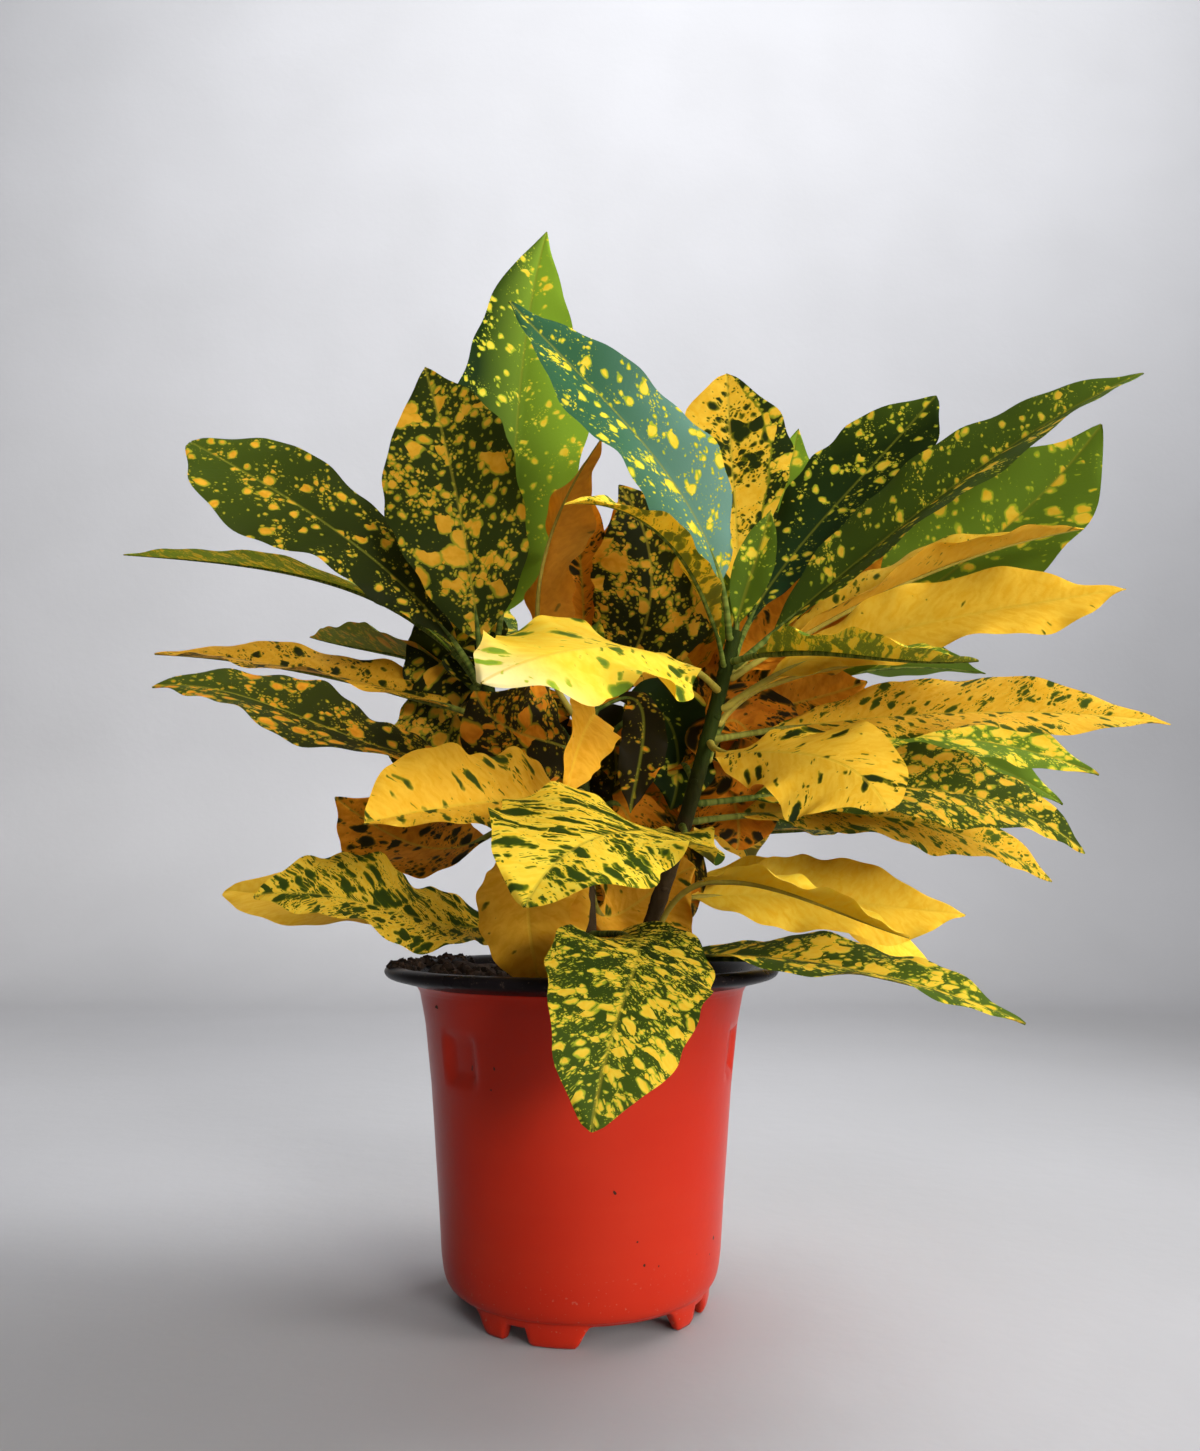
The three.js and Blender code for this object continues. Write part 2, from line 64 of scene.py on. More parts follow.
def add(tree, kind, inputs=None, **settings):
    """One node of a tree, with its settings by name and its inputs by name or number."""
    made = tree.nodes.new(kind)
    for key, value in settings.items():
        setattr(made, key, value)
    for key, value in (inputs or {}).items():
        if isinstance(value, Term):
            value = value.socket
        if isinstance(value, bpy.types.NodeSocket):
            tree.links.new(value, made.inputs[key])
        else:
            made.inputs[key].default_value = value
    return made


class Term:
    """One output of a node, so that sums of numbers and of vectors can be written as sums."""

    def __init__(self, tree, socket):
        self.tree, self.socket = tree, socket

    def number(self, operation, *others):
        return term(self.tree, "ShaderNodeMath", dict(enumerate([self, *others])), operation=operation)

    def vector(self, operation, *others, out="Vector"):
        values = dict(enumerate([self, *others]))
        return term(self.tree, "ShaderNodeVectorMath", values, out, operation=operation)

    def is_vector(self):
        return self.socket.type == "VECTOR"

    def either(self, operation, other):
        return self.vector(operation, other) if self.is_vector() else self.number(operation, other)

    def __rsub__(self, other):
        return self * -1 + other

    def __mul__(self, other):
        if self.is_vector():
            return term(self.tree, "ShaderNodeVectorMath", {0: self, "Scale": other}, operation="SCALE")
        if isinstance(other, Term) and other.is_vector():
            return other * self
        return self.number("MULTIPLY", other)

    __add__ = __radd__ = partialmethod(either, "ADD")
    __sub__ = partialmethod(either, "SUBTRACT")
    __rmul__ = __mul__
    __truediv__ = partialmethod(number, "DIVIDE")
    __pow__ = partialmethod(number, "POWER")
    sin = partialmethod(number, "SINE")
    abs = partialmethod(number, "ABSOLUTE")
    sign = partialmethod(number, "SIGN")
    least = partialmethod(number, "MINIMUM")
    most = partialmethod(number, "MAXIMUM")
    unit = partialmethod(vector, "NORMALIZE")
    dot = partialmethod(vector, "DOT_PRODUCT", out="Value")
    cross = partialmethod(vector, "CROSS_PRODUCT")

    def step(self, low, high, start=0.0, end=1.0):
        """Rises smoothly from start to end while this goes from low to high."""
        values = {"Value": self, 1: low, 2: high, 3: start, 4: end}
        return term(self.tree, "ShaderNodeMapRange", values, interpolation_type="SMOOTHSTEP")

    def parts(self):
        made = add(self.tree, "ShaderNodeSeparateXYZ", {0: self})
        return [Term(self.tree, out) for out in made.outputs]


def term(tree, kind, inputs=None, out=0, **settings):
    """One output of a new node, by its number or name."""
    return Term(tree, add(tree, kind, inputs, **settings).outputs[out])


def joined(x, y, z):
    """A vector from three numbers, of which the second is a term."""
    return term(y.tree, "ShaderNodeCombineXYZ", {0: x, 1: y, 2: z})


def noise(place, scale, detail=2.0, roughness=0.5, dimensions="3D"):
    values = {"Vector": place, "Scale": scale, "Detail": detail, "Roughness": roughness}
    return term(place.tree, "ShaderNodeTexNoise", values, noise_dimensions=dimensions)


def blended(share, first, second):
    """A colour between two others."""
    first, second = ((*colour, 1) if isinstance(colour, tuple) else colour for colour in (first, second))
    tree = (share if isinstance(share, Term) else first).tree
    return term(tree, "ShaderNodeMix", {0: share, 6: first, 7: second}, 2, data_type="RGBA")


def surface(name, roughness, shine):
    """A material with one shader, its roughness and how much it mirrors."""
    material = bpy.data.materials.new(name)
    material.use_nodes = True
    shader = material.node_tree.nodes["Principled BSDF"]
    shader.inputs["Roughness"].default_value = roughness
    shader.inputs["Specular IOR Level"].default_value = shine
    return material, material.node_tree, shader


def dressed(shader, colour, height, depth, strength, roughness=None):
    """Gives a shader its colour, its bumps and, where it varies, its roughness."""
    values = {"Height": height, "Distance": depth, "Strength": strength}
    bumps = term(colour.tree, "ShaderNodeBump", values)
    for label, value in (("Base Color", colour), ("Normal", bumps), ("Roughness", roughness)):
        if value is not None:
            colour.tree.links.new(value.socket, shader.inputs[label])


def mesh_object(name, points, faces, materials):
    """A smooth mesh at the origin, from points in metres and faces as lists of point numbers."""
    mesh = bpy.data.meshes.new(name)
    mesh.from_pydata([tuple(p) for p in points], [], faces)
    mesh.validate()
    for material in materials:
        mesh.materials.append(material)
    mesh.polygons.foreach_set("use_smooth", [True] * len(mesh.polygons))
    made = bpy.data.objects.new(name, mesh)
    scene.collection.objects.link(made)
    return made


def lamp(name, place, target, size, power, colour, spread):
    data = bpy.data.lights.new(name, "AREA")
    data.shape = "RECTANGLE"
    data.size, data.size_y = size
    data.energy = power
    data.color = colour
    data.spread = math.radians(spread)
    made = bpy.data.objects.new(name, data)
    made.location = place
    made.rotation_euler = (Vector(target) - Vector(place)).to_track_quat("-Z", "Y").to_euler()
    made.visible_camera = False
    made.visible_glossy = name in ("window", "door")
    scene.collection.objects.link(made)


lamp("window", (3.1, -1.3, 1.05), (-0.1, -0.2, 0.18), (1.6, 1.6), 11.5, (1.0, 0.97, 0.92), 55)
lamp("door", (1.4, -2.2, 0.8), (0.08, 0, 0.3), (1.0, 1.0), 3.5, (1.0, 0.98, 0.95), 36)
lamp("skylight", (0.75, 0.4, 1.15), (0, 0, 0.25), (0.9, 0.6), 5, (0.97, 0.98, 1.0), 70)
lamp("wall_wash", (0.4, -1.2, 2.6), (0.12, 1.2, 1.45), (2.0, 0.8), 34, (0.97, 0.98, 1.0), 70)
lamp("ceiling", (-0.3, -1.2, 2.4), (0, 0, 0.2), (2.0, 2.0), 12.5, (0.95, 0.98, 1.0), 180)

world = bpy.data.worlds.new("room")
scene.world = world
world.use_nodes = True
backdrop = world.node_tree.nodes["Background"]
backdrop.inputs["Color"].default_value = (0.77, 0.73, 0.71, 1)
backdrop.inputs["Strength"].default_value = 0.24

table_paint, tree, shader = surface("table_paint", 0.7, 0.3)
where = term(tree, "ShaderNodeTexCoord", out="Object")
tint = blended(noise(where, 5.0), (0.345, 0.345, 0.355), (0.395, 0.395, 0.41))
dressed(shader, tint, noise(where, 60.0, 3.0), 1.2 * MM, 0.35)

ROOM, WALL_TOP = 3.0, 2.4
SWEEP_START, SWEEP_RADIUS, SWEEP_STEPS = 0.85, 0.35, 16
line = [(-ROOM, 0.0), (SWEEP_START, 0.0)]
for i in range(1, SWEEP_STEPS + 1):
    turn = math.radians(90) * i / SWEEP_STEPS
    line.append((SWEEP_START + SWEEP_RADIUS * math.sin(turn), SWEEP_RADIUS * (1 - math.cos(turn))))
line.append((SWEEP_START + SWEEP_RADIUS, WALL_TOP))
points = [(x, y, z) for y, z in line for x in (-ROOM, ROOM)]
faces = [(2 * i, 2 * i + 1, 2 * i + 3, 2 * i + 2) for i in range(len(line) - 1)]
floor = mesh_object("floor", points, faces, [table_paint])

# Pot
# A nursery pot blown from a two-coloured sheet: red outside, glossy black inside and over its rolled lip.
# It stands on a ring with notches for drainage, and small dents in the wall keep stacked pots apart.

TURN = 2 * math.pi
POT_SIDES = 240
WALL = 1.3
WALL_STATIONS = [(44.4, 16), (45.6, 31), (48.7, 66), (51.2, 86), (53.2, 95.5), (54.6, 98)]
LIP_LINE = [(60, 99.2), (63.8, 100.3), (65, 102.2), (64, 103.6), (61, 104), (57.5, 103), (55, 100.6)]
LIP_STARTS = 98.3
FLOOR_UNDER, FLOOR_TOP = 6, 7.3
RING_HEIGHT, RING_RADIUS, NOTCH_RADIUS, NOTCH_SLOPE = 7, 39, 45, 0.28
NOTCHES = [(23, 40, 6.0), (-27, 11, 4.4)]
DENT_COUNT, DENT_TURN, DENT_LEVEL, DENT_DEPTH = 3, -46, 78, 2.1
DENT_REACH, DENT_RISE, DENT_RADIUS = 8, 7.5, 50
DRAIN_HOLES, HOLE_RADIUS, HOLE_CIRCLE, HOLE_DEPTH, HOLE_LEVEL = 8, 4, 27, 6, 6.6


def wall_radius(height):
    return float(np.interp(height, [h for _, h in WALL_STATIONS], [r for r, _ in WALL_STATIONS]))


def dent(angle, height):
    """How far the wall is pushed in, where angle is counted from the front to the right."""
    pushed, above = 0.0, abs(height - DENT_LEVEL)
    for i in range(DENT_COUNT):
        middle = math.radians(DENT_TURN + i * 360 / DENT_COUNT)
        away = abs(math.remainder(angle - middle, TURN)) * DENT_RADIUS
        if away < DENT_REACH and above < DENT_RISE:
            pushed += DENT_DEPTH * min(1, (DENT_RISE - above) / 2) * min(1, (DENT_REACH - away) / 3)
    return pushed


def notch(angle):
    """How high the foot ring is cut out at an angle, with a rounded slope at each side of a notch."""
    cut_out = 0.0
    for quarter in range(4):
        for centre, width, top in NOTCHES:
            away = math.remainder(angle - math.radians(centre + 90 * quarter), TURN)
            half = math.tan(math.radians(width / 2)) * NOTCH_RADIUS
            if abs(away) < 1:
                inside = half - abs(RING_RADIUS * math.sin(away))
                share = min(1, max(0, inside / (half * NOTCH_SLOPE)))
                cut_out += top * share * share * (3 - 2 * share)
    return cut_out


def rounded_line(line, times):
    """Cuts the corners off a line of points, again and again, but keeps its two ends."""
    for _ in range(times):
        cut = [line[0]]
        for (r0, h0), (r1, h1) in zip(line, line[1:]):
            cut.append((0.75 * r0 + 0.25 * r1, 0.75 * h0 + 0.25 * h1))
            cut.append((0.25 * r0 + 0.75 * r1, 0.25 * h0 + 0.75 * h1))
        line = cut + [line[-1]]
    return line


def spun_faces(rings, sides, first_pole, last_pole):
    """Faces for rings of points about an axis, with a point at each end that is closed on the axis."""
    faces = []
    for r in range(rings - 1):
        low = r * sides
        for i in range(sides):
            j = (i + 1) % sides
            faces.append((low + i, low + j, low + sides + j, low + sides + i))
    last = (rings - 1) * sides
    for i in range(sides):
        faces.append((first_pole, (i + 1) % sides, i))
    for i in range(sides):
        faces.append((last_pole, last + i, last + (i + 1) % sides))
    return faces


def finished(made):
    """Turns a piece with its modifiers into a plain mesh."""
    bpy.context.view_layer.update()
    seen = made.evaluated_get(bpy.context.evaluated_depsgraph_get())
    mesh = bpy.data.meshes.new_from_object(seen)
    made.modifiers.clear()
    made.data = mesh


wall_line = [(wall_radius(h), h) for h in np.linspace(16, 95.5, 40)]
foot_line = [(36.6, 5.4), (37, 0), (40.2, 0), (41, 7), (42.2, 7.6), (43.6, 10.5)]
outside = [(30, FLOOR_UNDER), (36, FLOOR_UNDER)]
outside += rounded_line(foot_line + wall_line[:2], 2)[1:-1] + wall_line[2:]
lip = rounded_line([(53.2, 95.5), (54.6, 98), *LIP_LINE, (53.3, 98), (51.9, 95.5)], 2)[1:-1]
inside = [(r - WALL, h) for r, h in reversed(wall_line[::3])]
inside += rounded_line([(43.1, 16), (42.2, 11.6), (40, 9), (37, FLOOR_TOP), (30, FLOOR_TOP)], 2)[1:]
pot_line = outside + lip + inside

points = []
for radius, height in pot_line:
    for k in range(POT_SIDES):
        angle = TURN * k / POT_SIDES
        cut_out = notch(angle) * (1 - height / RING_HEIGHT) if height < RING_HEIGHT else 0
        reach = (radius - dent(angle, height)) * MM
        points.append((reach * math.sin(angle), -reach * math.cos(angle), (height + cut_out) * MM))
under_pole = len(points)
points += [(0, 0, FLOOR_UNDER * MM), (0, 0, FLOOR_TOP * MM)]
faces = spun_faces(len(pot_line), POT_SIDES, under_pole, under_pole + 1)
last_red = max(i for i, (_, h) in enumerate(pot_line[: len(outside) + len(lip) // 2]) if h < LIP_STARTS)
material_of = [0 if min(face) // POT_SIDES < last_red or under_pole in face else 1 for face in faces]

red_plastic, tree, shader = surface("red_plastic", 0.3, 0.1)
where = term(tree, "ShaderNodeTexCoord", out="Object")
x, y, z = where.parts()
bands = noise(joined(x * 4, y * 4, z * 90), 1.0, 3.0)
cloud = noise(where, 28.0, 4.0)
tint = blended(bands * 0.4 + cloud * 0.6, (0.37, 0.010, 0.004), (0.435, 0.030, 0.010))
dust = noise(where, 900.0).step(0.66, 0.74) * z.step(0.03, 0.0)
tint = blended(dust * 0.5, tint, (0.35, 0.2, 0.14))
dirt = noise(where, 330.0, 1.0).step(0.76, 0.79) * noise(where, 25.0, 1.0).step(0.5, 0.6)
tint = blended(dirt, tint, (0.03, 0.012, 0.008))
height = bands * 0.6 + noise(where, 350.0) * 0.25
dressed(shader, tint, height, 0.35 * MM, 0.35, cloud * 0.14 + 0.24)

black_plastic, tree, shader = surface("black_plastic", 0.3, 0.03)
where = term(tree, "ShaderNodeTexCoord", out="Object")
smears = noise(where, 60.0, 5.0)
specks = noise(where, 700.0).step(0.64, 0.72)
tint = blended(smears, (0.004, 0.003, 0.004), (0.014, 0.011, 0.011))
tint = blended(specks * 0.4, tint, (0.10, 0.07, 0.05))
dressed(shader, tint, smears + specks * 0.5, 0.3 * MM, 0.3, smears * 0.3 + specks * 0.3 + 0.15)

pot = mesh_object("nursery_pot", points, faces, [red_plastic, black_plastic])
pot.data.polygons.foreach_set("material_index", material_of)
drill = bmesh.new()
for i in range(DRAIN_HOLES):
    turn = (i + 0.5) * TURN / DRAIN_HOLES
    made = bmesh.ops.create_cone(
        drill, cap_ends=True, segments=24, radius1=HOLE_RADIUS * MM, radius2=HOLE_RADIUS * MM,
        depth=HOLE_DEPTH * MM)
    aside, ahead = HOLE_CIRCLE * MM * math.cos(turn), HOLE_CIRCLE * MM * math.sin(turn)
    bmesh.ops.translate(drill, vec=Vector((aside, ahead, HOLE_LEVEL * MM)), verts=made["verts"])
hole_mesh = bpy.data.meshes.new("drain_holes")
drill.to_mesh(hole_mesh)
drill.free()
holes = bpy.data.objects.new("drain_holes", hole_mesh)
scene.collection.objects.link(holes)
cut = pot.modifiers.new("drain_holes", "BOOLEAN")
cut.object, cut.operation, cut.solver = holes, "DIFFERENCE", "EXACT"
finished(pot)
bpy.data.objects.remove(holes)
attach(pot, "root")
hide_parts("pot")

# Soil
# Dark, crumbly potting soil fills the pot to just under the lip, slightly domed, with a heap against the
# rim at the back left. Loose crumbs of many sizes lie all over it.

SOIL_LEVEL, SOIL_DOME, SOIL_FLOOR, SOIL_GAP = 92, 3, 7.6, 0.4
HEAP_TURN, HEAP_HEIGHT = 150, 11
SOIL_SIDES, SOIL_RINGS = 144, 34
LOWEST_CRUMB, STEEPEST_CRUMB = 89, 0.3


def soil_height(angle, reach):
    x, y = 52 * math.cos(angle), 52 * math.sin(angle)
    heap = HEAP_HEIGHT * max(0, math.cos(angle - math.radians(HEAP_TURN))) ** 3 * reach ** 3
    hollows = 0.9 * math.sin(x * 0.31 + 1) * math.cos(y * 0.27)
    return SOIL_LEVEL + SOIL_DOME * (1 - reach ** 2) + heap + hollows


def round_point(radius, angle, height):
    """A point in metres at a distance from the axis, where angle is counted from the right to the back."""
    return radius * math.cos(angle) * MM, radius * math.sin(angle) * MM, height * MM


dice = random.Random(7)
points = []
side = [(36.6, SOIL_FLOOR), (39.6, 9.6), (41.6, 12.2)]
side += [(wall_radius(h) - WALL - SOIL_GAP, h) for h in (17, 31, 48, 64, 67, 70, 75, 80, 83, 86)]
for radius, height in side:
    for k in range(SOIL_SIDES):
        angle = TURN * k / SOIL_SIDES
        points.append(round_point(radius - dent(angle + math.pi / 2, height), angle, height))
for i in range(SOIL_RINGS):
    reach = 1 - i / SOIL_RINGS
    for k in range(SOIL_SIDES):
        angle = TURN * k / SOIL_SIDES
        height = soil_height(angle, reach)
        radius = (wall_radius(height) - WALL - SOIL_GAP) * reach
        rough = dice.uniform(-0.5, 0.9) if i else 0
        points.append(round_point(radius, angle, height + rough))
faces = spun_faces(len(side) + SOIL_RINGS, SOIL_SIDES, len(points), len(points) + 1)
points += [(0, 0, SOIL_FLOOR * MM), (0, 0, (SOIL_LEVEL + SOIL_DOME) * MM)]

soil_stuff, tree, shader = surface("potting_soil", 0.92, 0.25)
where = term(tree, "ShaderNodeTexCoord", out="Object")
clumps = noise(where, 130.0, 4.0)
fibres = noise(where, 420.0, 3.0).step(0.58, 0.72)
tint = blended(clumps.step(0.35, 0.7), (0.012, 0.008, 0.006), (0.050, 0.031, 0.021))
tint = blended(fibres * 0.6, tint, (0.13, 0.075, 0.045))
dressed(shader, tint, clumps + noise(where, 900.0, 3.0) * 0.5, 1.2 * MM, 0.9)

soil = mesh_object("potting_soil", points, faces, [soil_stuff])


def new_tree(name, **kinds):
    """A geometry node tree and its inputs, which are named for each kind of socket."""
    tree = bpy.data.node_groups.new(name, "GeometryNodeTree")
    kind_of = {key: kind for kind, keys in kinds.items() for key in keys.split()}
    for key, kind in kind_of.items():
        label = key.replace("_", " ").capitalize()
        tree.interface.new_socket(label, in_out="INPUT", socket_type="NodeSocket" + kind)
    tree.interface.new_socket("Piece", in_out="OUTPUT", socket_type="NodeSocketGeometry")
    entry = tree.nodes.new("NodeGroupInput")
    return tree, SimpleNamespace(**{key: Term(tree, out) for key, out in zip(kind_of, entry.outputs)})


def node(tree, kind, inputs=None, out=0, **settings):
    """One output of a new geometry node."""
    return term(tree, "GeometryNode" + kind, inputs, out, **settings)


def together(tree, *pieces):
    """Several geometries as one."""
    both = add(tree, "GeometryNodeJoinGeometry")
    for piece in pieces:
        tree.links.new(piece.socket, both.inputs[0])
    return Term(tree, both.outputs[0])


def end_tree(tree, geometry, material=None):
    """Ends a tree in real meshes, with one material unless they have their own."""
    real = node(tree, "RealizeInstances", {0: geometry})
    if material is not None:
        real = node(tree, "SetMaterial", {0: real, "Material": material})
    add(tree, "NodeGroupOutput", {0: real})


def grown(piece, tree, **values):
    """Runs a tree on a piece, with its inputs set by their names, and keeps the mesh that it makes."""
    modifier = piece.modifiers.new(tree.name, "NODES")
    modifier.node_group = tree
    for item in tree.interface.items_tree:
        key = item.name.replace(" ", "_").lower()
        if item.in_out == "INPUT" and key in values:
            modifier[item.identifier] = values[key]
    finished(piece)


crumb_tree, given = new_tree(
    "crumbs", Geometry="ground", Float="density smallest largest reach", Int="seed", Bool="ground_kept",
    Material="material")
tree = crumb_tree
place = node(tree, "InputPosition")
x, y, height = place.parts()
level = node(tree, "InputNormal").parts()[2]
on_top = height.number("GREATER_THAN", LOWEST_CRUMB * MM) * level.number("GREATER_THAN", STEEPEST_CRUMB)
on_top = on_top * joined(x, y, 0.0).vector("LENGTH", out="Value").number("LESS_THAN", given.reach)
scattered = node(tree, "DistributePointsOnFaces", {
    "Mesh": given.ground, "Selection": on_top, "Density": given.density, "Seed": given.seed})
ball = node(tree, "MeshIcoSphere", {"Radius": 1.0, "Subdivisions": 1})
lumpy = term(tree, "ShaderNodeTexNoise", {"Scale": 1.6, "Detail": 2.0}) * 1.5 + 0.25
lump = node(tree, "SetPosition", {0: ball, "Position": place * lumpy})
size = term(tree, "FunctionNodeRandomValue", {"Seed": given.seed}, 1, data_type="FLOAT") ** 3.0
size = given.smallest + (given.largest - given.smallest) * size
spin = term(tree, "FunctionNodeRandomValue", {1: (6.28, 6.28, 6.28)}, data_type="FLOAT_VECTOR")
crumbs = node(tree, "InstanceOnPoints", {0: scattered, "Instance": lump, "Rotation": spin, "Scale": size})
kept = node(tree, "Switch", {"Switch": given.ground_kept, "True": given.ground}, input_type="GEOMETRY")
end_tree(tree, together(tree, crumbs, kept), given.material)
grown(
    soil, crumb_tree, density=230000.0, smallest=0.35 * MM, largest=2.6 * MM, seed=4, reach=49.5 * MM,
    ground_kept=True, material=soil_stuff)
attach(soil, "root")
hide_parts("soil")

SPILL_FROM, SPILL_TO, SPILL_STEPS = math.radians(135), math.radians(200), 24
SPILL_LINE = [(55.5, 101.6), (58, 103.2), (61, 103.9), (63.2, 103.6)]
points, faces = [], []
for i in range(SPILL_STEPS + 1):
    angle = SPILL_FROM + (SPILL_TO - SPILL_FROM) * i / SPILL_STEPS
    points += [round_point(radius, angle, height) for radius, height in SPILL_LINE]
    if i:
        faces += [(4 * i + k - 3, 4 * i + k + 1, 4 * i + k, 4 * i + k - 4) for k in range(3)]
spilled = mesh_object("spilled_soil", points, faces, [soil_stuff])
grown(
    spilled, crumb_tree, density=420000.0, smallest=0.3 * MM, largest=1.9 * MM, seed=9, reach=70 * MM,
    ground_kept=False, material=soil_stuff)
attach(spilled, "root")

# Stems
# Four thin woody stems rise out of the soil and lean apart. They are brown and scarred where old leaves
# have dropped, and turn green towards the crown.

STEM_BASE, STEM_STEPS, STEM_SIDES = 35, 90, 16
STEMS = {
    "left": ([(-10, 4, STEM_BASE), (-10, 4, 95), (-24, 3, 154), (-36, 0, 213)], (2.9, 2.1)),
    "middle": ([(3, -9, STEM_BASE), (3, -9, 95), (1, 2, 149), (-2, 10, 199)], (2.8, 2.0)),
    "right": ([(19, 3, STEM_BASE), (19, 3, 97), (36, -13, 157), (51, -20, 213)], (3.1, 2.3)),
    "back": ([(9, 27, STEM_BASE), (9, 27, 95), (32, 34, 149), (44, 36, 195)], (2.8, 2.0)),
}


def stem_point(line, t):
    """A point of the smooth curve through four points, with the knots spaced by the roots of its chords."""
    p = [np.array(q, float) for q in line]
    p = [2 * p[0] - p[1], *p, 2 * p[-1] - p[-2]]
    k = min(2, int(3 * t))
    w = 3 * t - k
    a, b, c, d = p[k : k + 4]
    d0, d1, d2 = (norm(v - u) ** 0.5 for u, v in ((a, b), (b, c), (c, d)))
    m1 = ((b - a) / d0 - (c - a) / (d0 + d1) + (c - b) / d1) * d1
    m2 = ((c - b) / d1 - (d - b) / (d1 + d2) + (d - c) / d2) * d1
    return b + m1 * w + (3 * (c - b) - 2 * m1 - m2) * w ** 2 + (2 * (b - c) + m1 + m2) * w ** 3


def on_stem(name, height):
    """The stem's middle line at a height: the point, its direction and the stem's radius there."""
    line, (thick, thin) = STEMS[name]
    low, high = 0.0, 1.0
    for _ in range(24):
        half = (low + high) / 2
        low, high = (half, high) if stem_point(line, half)[2] < height else (low, half)
    along = stem_point(line, min(1, low + 1e-3)) - stem_point(line, max(0, low - 1e-3))
    return stem_point(line, low), along / norm(along), thick + (thin - thick) * low


bark, tree, shader = surface("stem_bark", 0.7, 0.05)
where = term(tree, "ShaderNodeTexCoord", out="Object")
x, y, z = where.parts()
grain = noise(joined(x * 3, y * 3, z), 260.0, 4.0)
patch = noise(where, 70.0, 3.0)
# Painted shade: both the brown and the green of the bark are painted darker, for stems in the leaves' shade
wood = blended(grain, (0.020, 0.013, 0.006), (0.065, 0.042, 0.019))
green = blended(grain, (0.009, 0.016, 0.002), (0.030, 0.044, 0.005))
ripe = (z + patch * 0.05 - 0.025).step(0.125, 0.175)
dressed(shader, blended(ripe, wood, green), grain + patch * 0.5, 0.5 * MM, 0.5)


def tube(tree, curve, radius, sides):
    """A smooth round tube along a curve, closed at its ends."""
    ring = node(tree, "CurvePrimitiveCircle", {"Resolution": sides, "Radius": 1.0})
    body = node(tree, "CurveToMesh", {0: curve, 1: ring, "Scale": radius, "Fill Caps": True})
    return node(tree, "SetShadeSmooth", {0: body})


def chain(name, points, materials):
    """A piece that is a chain of edges through points in millimetres, for a tree to grow on."""
    piece = mesh_object(name, [Vector(p) * MM for p in points], [], materials)
    links = len(points) - 1
    piece.data.edges.add(links)
    piece.data.edges.foreach_set("vertices", [end for i in range(links) for end in (i, i + 1)])
    return piece


JOINT_SPACING, JOINT_SWELL = 9 * MM, 0.09
SCAR_COUNT, SCAR_SIZE, SCAR_TURN = 26, (1.4 * MM, 1.0 * MM, 0.6 * MM), 2.4
stem_tree, given = new_tree("stem", Geometry="line", Float="thick thin", Int="scars seed", Material="bark")
tree = stem_tree
curve = node(tree, "MeshToCurve", {0: given.line})
share, along = (node(tree, "SplineParameter", out=label) for label in ("Factor", "Length"))
joints = (along * (TURN / JOINT_SPACING)).sin().most(0.0) ** 6.0 * JOINT_SWELL
radius = (given.thick + (given.thin - given.thick) * share) * (1 + joints)
body = tube(tree, curve, radius, STEM_SIDES)

marks = add(tree, "GeometryNodeCurveToPoints", {0: curve, "Count": given.scars}, mode="COUNT")
number = node(tree, "InputIndex")
turn = number * SCAR_TURN + given.seed
tangent = Term(tree, marks.outputs["Tangent"])
cross = tangent.cross((0, 1, 0)).unit()
out_way = (cross * (turn + math.pi / 2).sin() + tangent.cross(cross) * turn.sin()).unit()
here = given.thick + (given.thin - given.thick) * (number / given.scars)
placed = node(tree, "SetPosition", {0: marks.outputs[0], "Offset": out_way * (here * 0.9)})
disc = node(tree, "MeshIcoSphere", {"Radius": 1.0, "Subdivisions": 2})
facing = term(tree, "FunctionNodeAlignRotationToVector", {"Vector": out_way}, axis="Z")
scars = node(tree, "InstanceOnPoints", {0: placed, "Instance": disc, "Rotation": facing, "Scale": SCAR_SIZE})
scars = node(tree, "SetShadeSmooth", {0: scars})
end_tree(tree, together(tree, body, scars), given.bark)

for number, (name, (line, (thick, thin))) in enumerate(STEMS.items()):
    points = [stem_point(line, i / STEM_STEPS) for i in range(STEM_STEPS + 1)]
    stem = chain(f"woody_stem_{name}", points, [bark])
    grown(stem, stem_tree, thick=thick * MM, thin=thin * MM, scars=SCAR_COUNT, seed=number, bark=bark)
    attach(stem, "root")
    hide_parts(f"stem_{name}")

# Leaves
# Long leathery blades on round stalks, folded a little along the midrib, waved, and cut shallowly at the
# edge, each with a drawn-out tip. They are dusted with gold: spots that run together along the side veins,
# from a few on the green leaves to whole gold leaves with a few green flecks. Each grows from its stem.

GAP, STEM_BEND = 0.3, 0.25
STALK_RADIUS, STALK_SIDES = 1.1, 10
BLADE_THICKNESS = 0.5
RIB_STEPS = 60
SHARP_EDGE = 1.2
LOBES, LOBE_DEPTH, NICKS, NICK_DEPTH = 11, 35, 43, 12
WAVES, RIPPLES, RIPPLE_SHARE, CROWN = 16, 47, 0.22, 0.09
VEIN_ANGLE, VEIN_SPACING = math.radians(32), 5.2
VEIN_COS, VEIN_SIN = math.cos(VEIN_ANGLE), math.sin(VEIN_ANGLE)


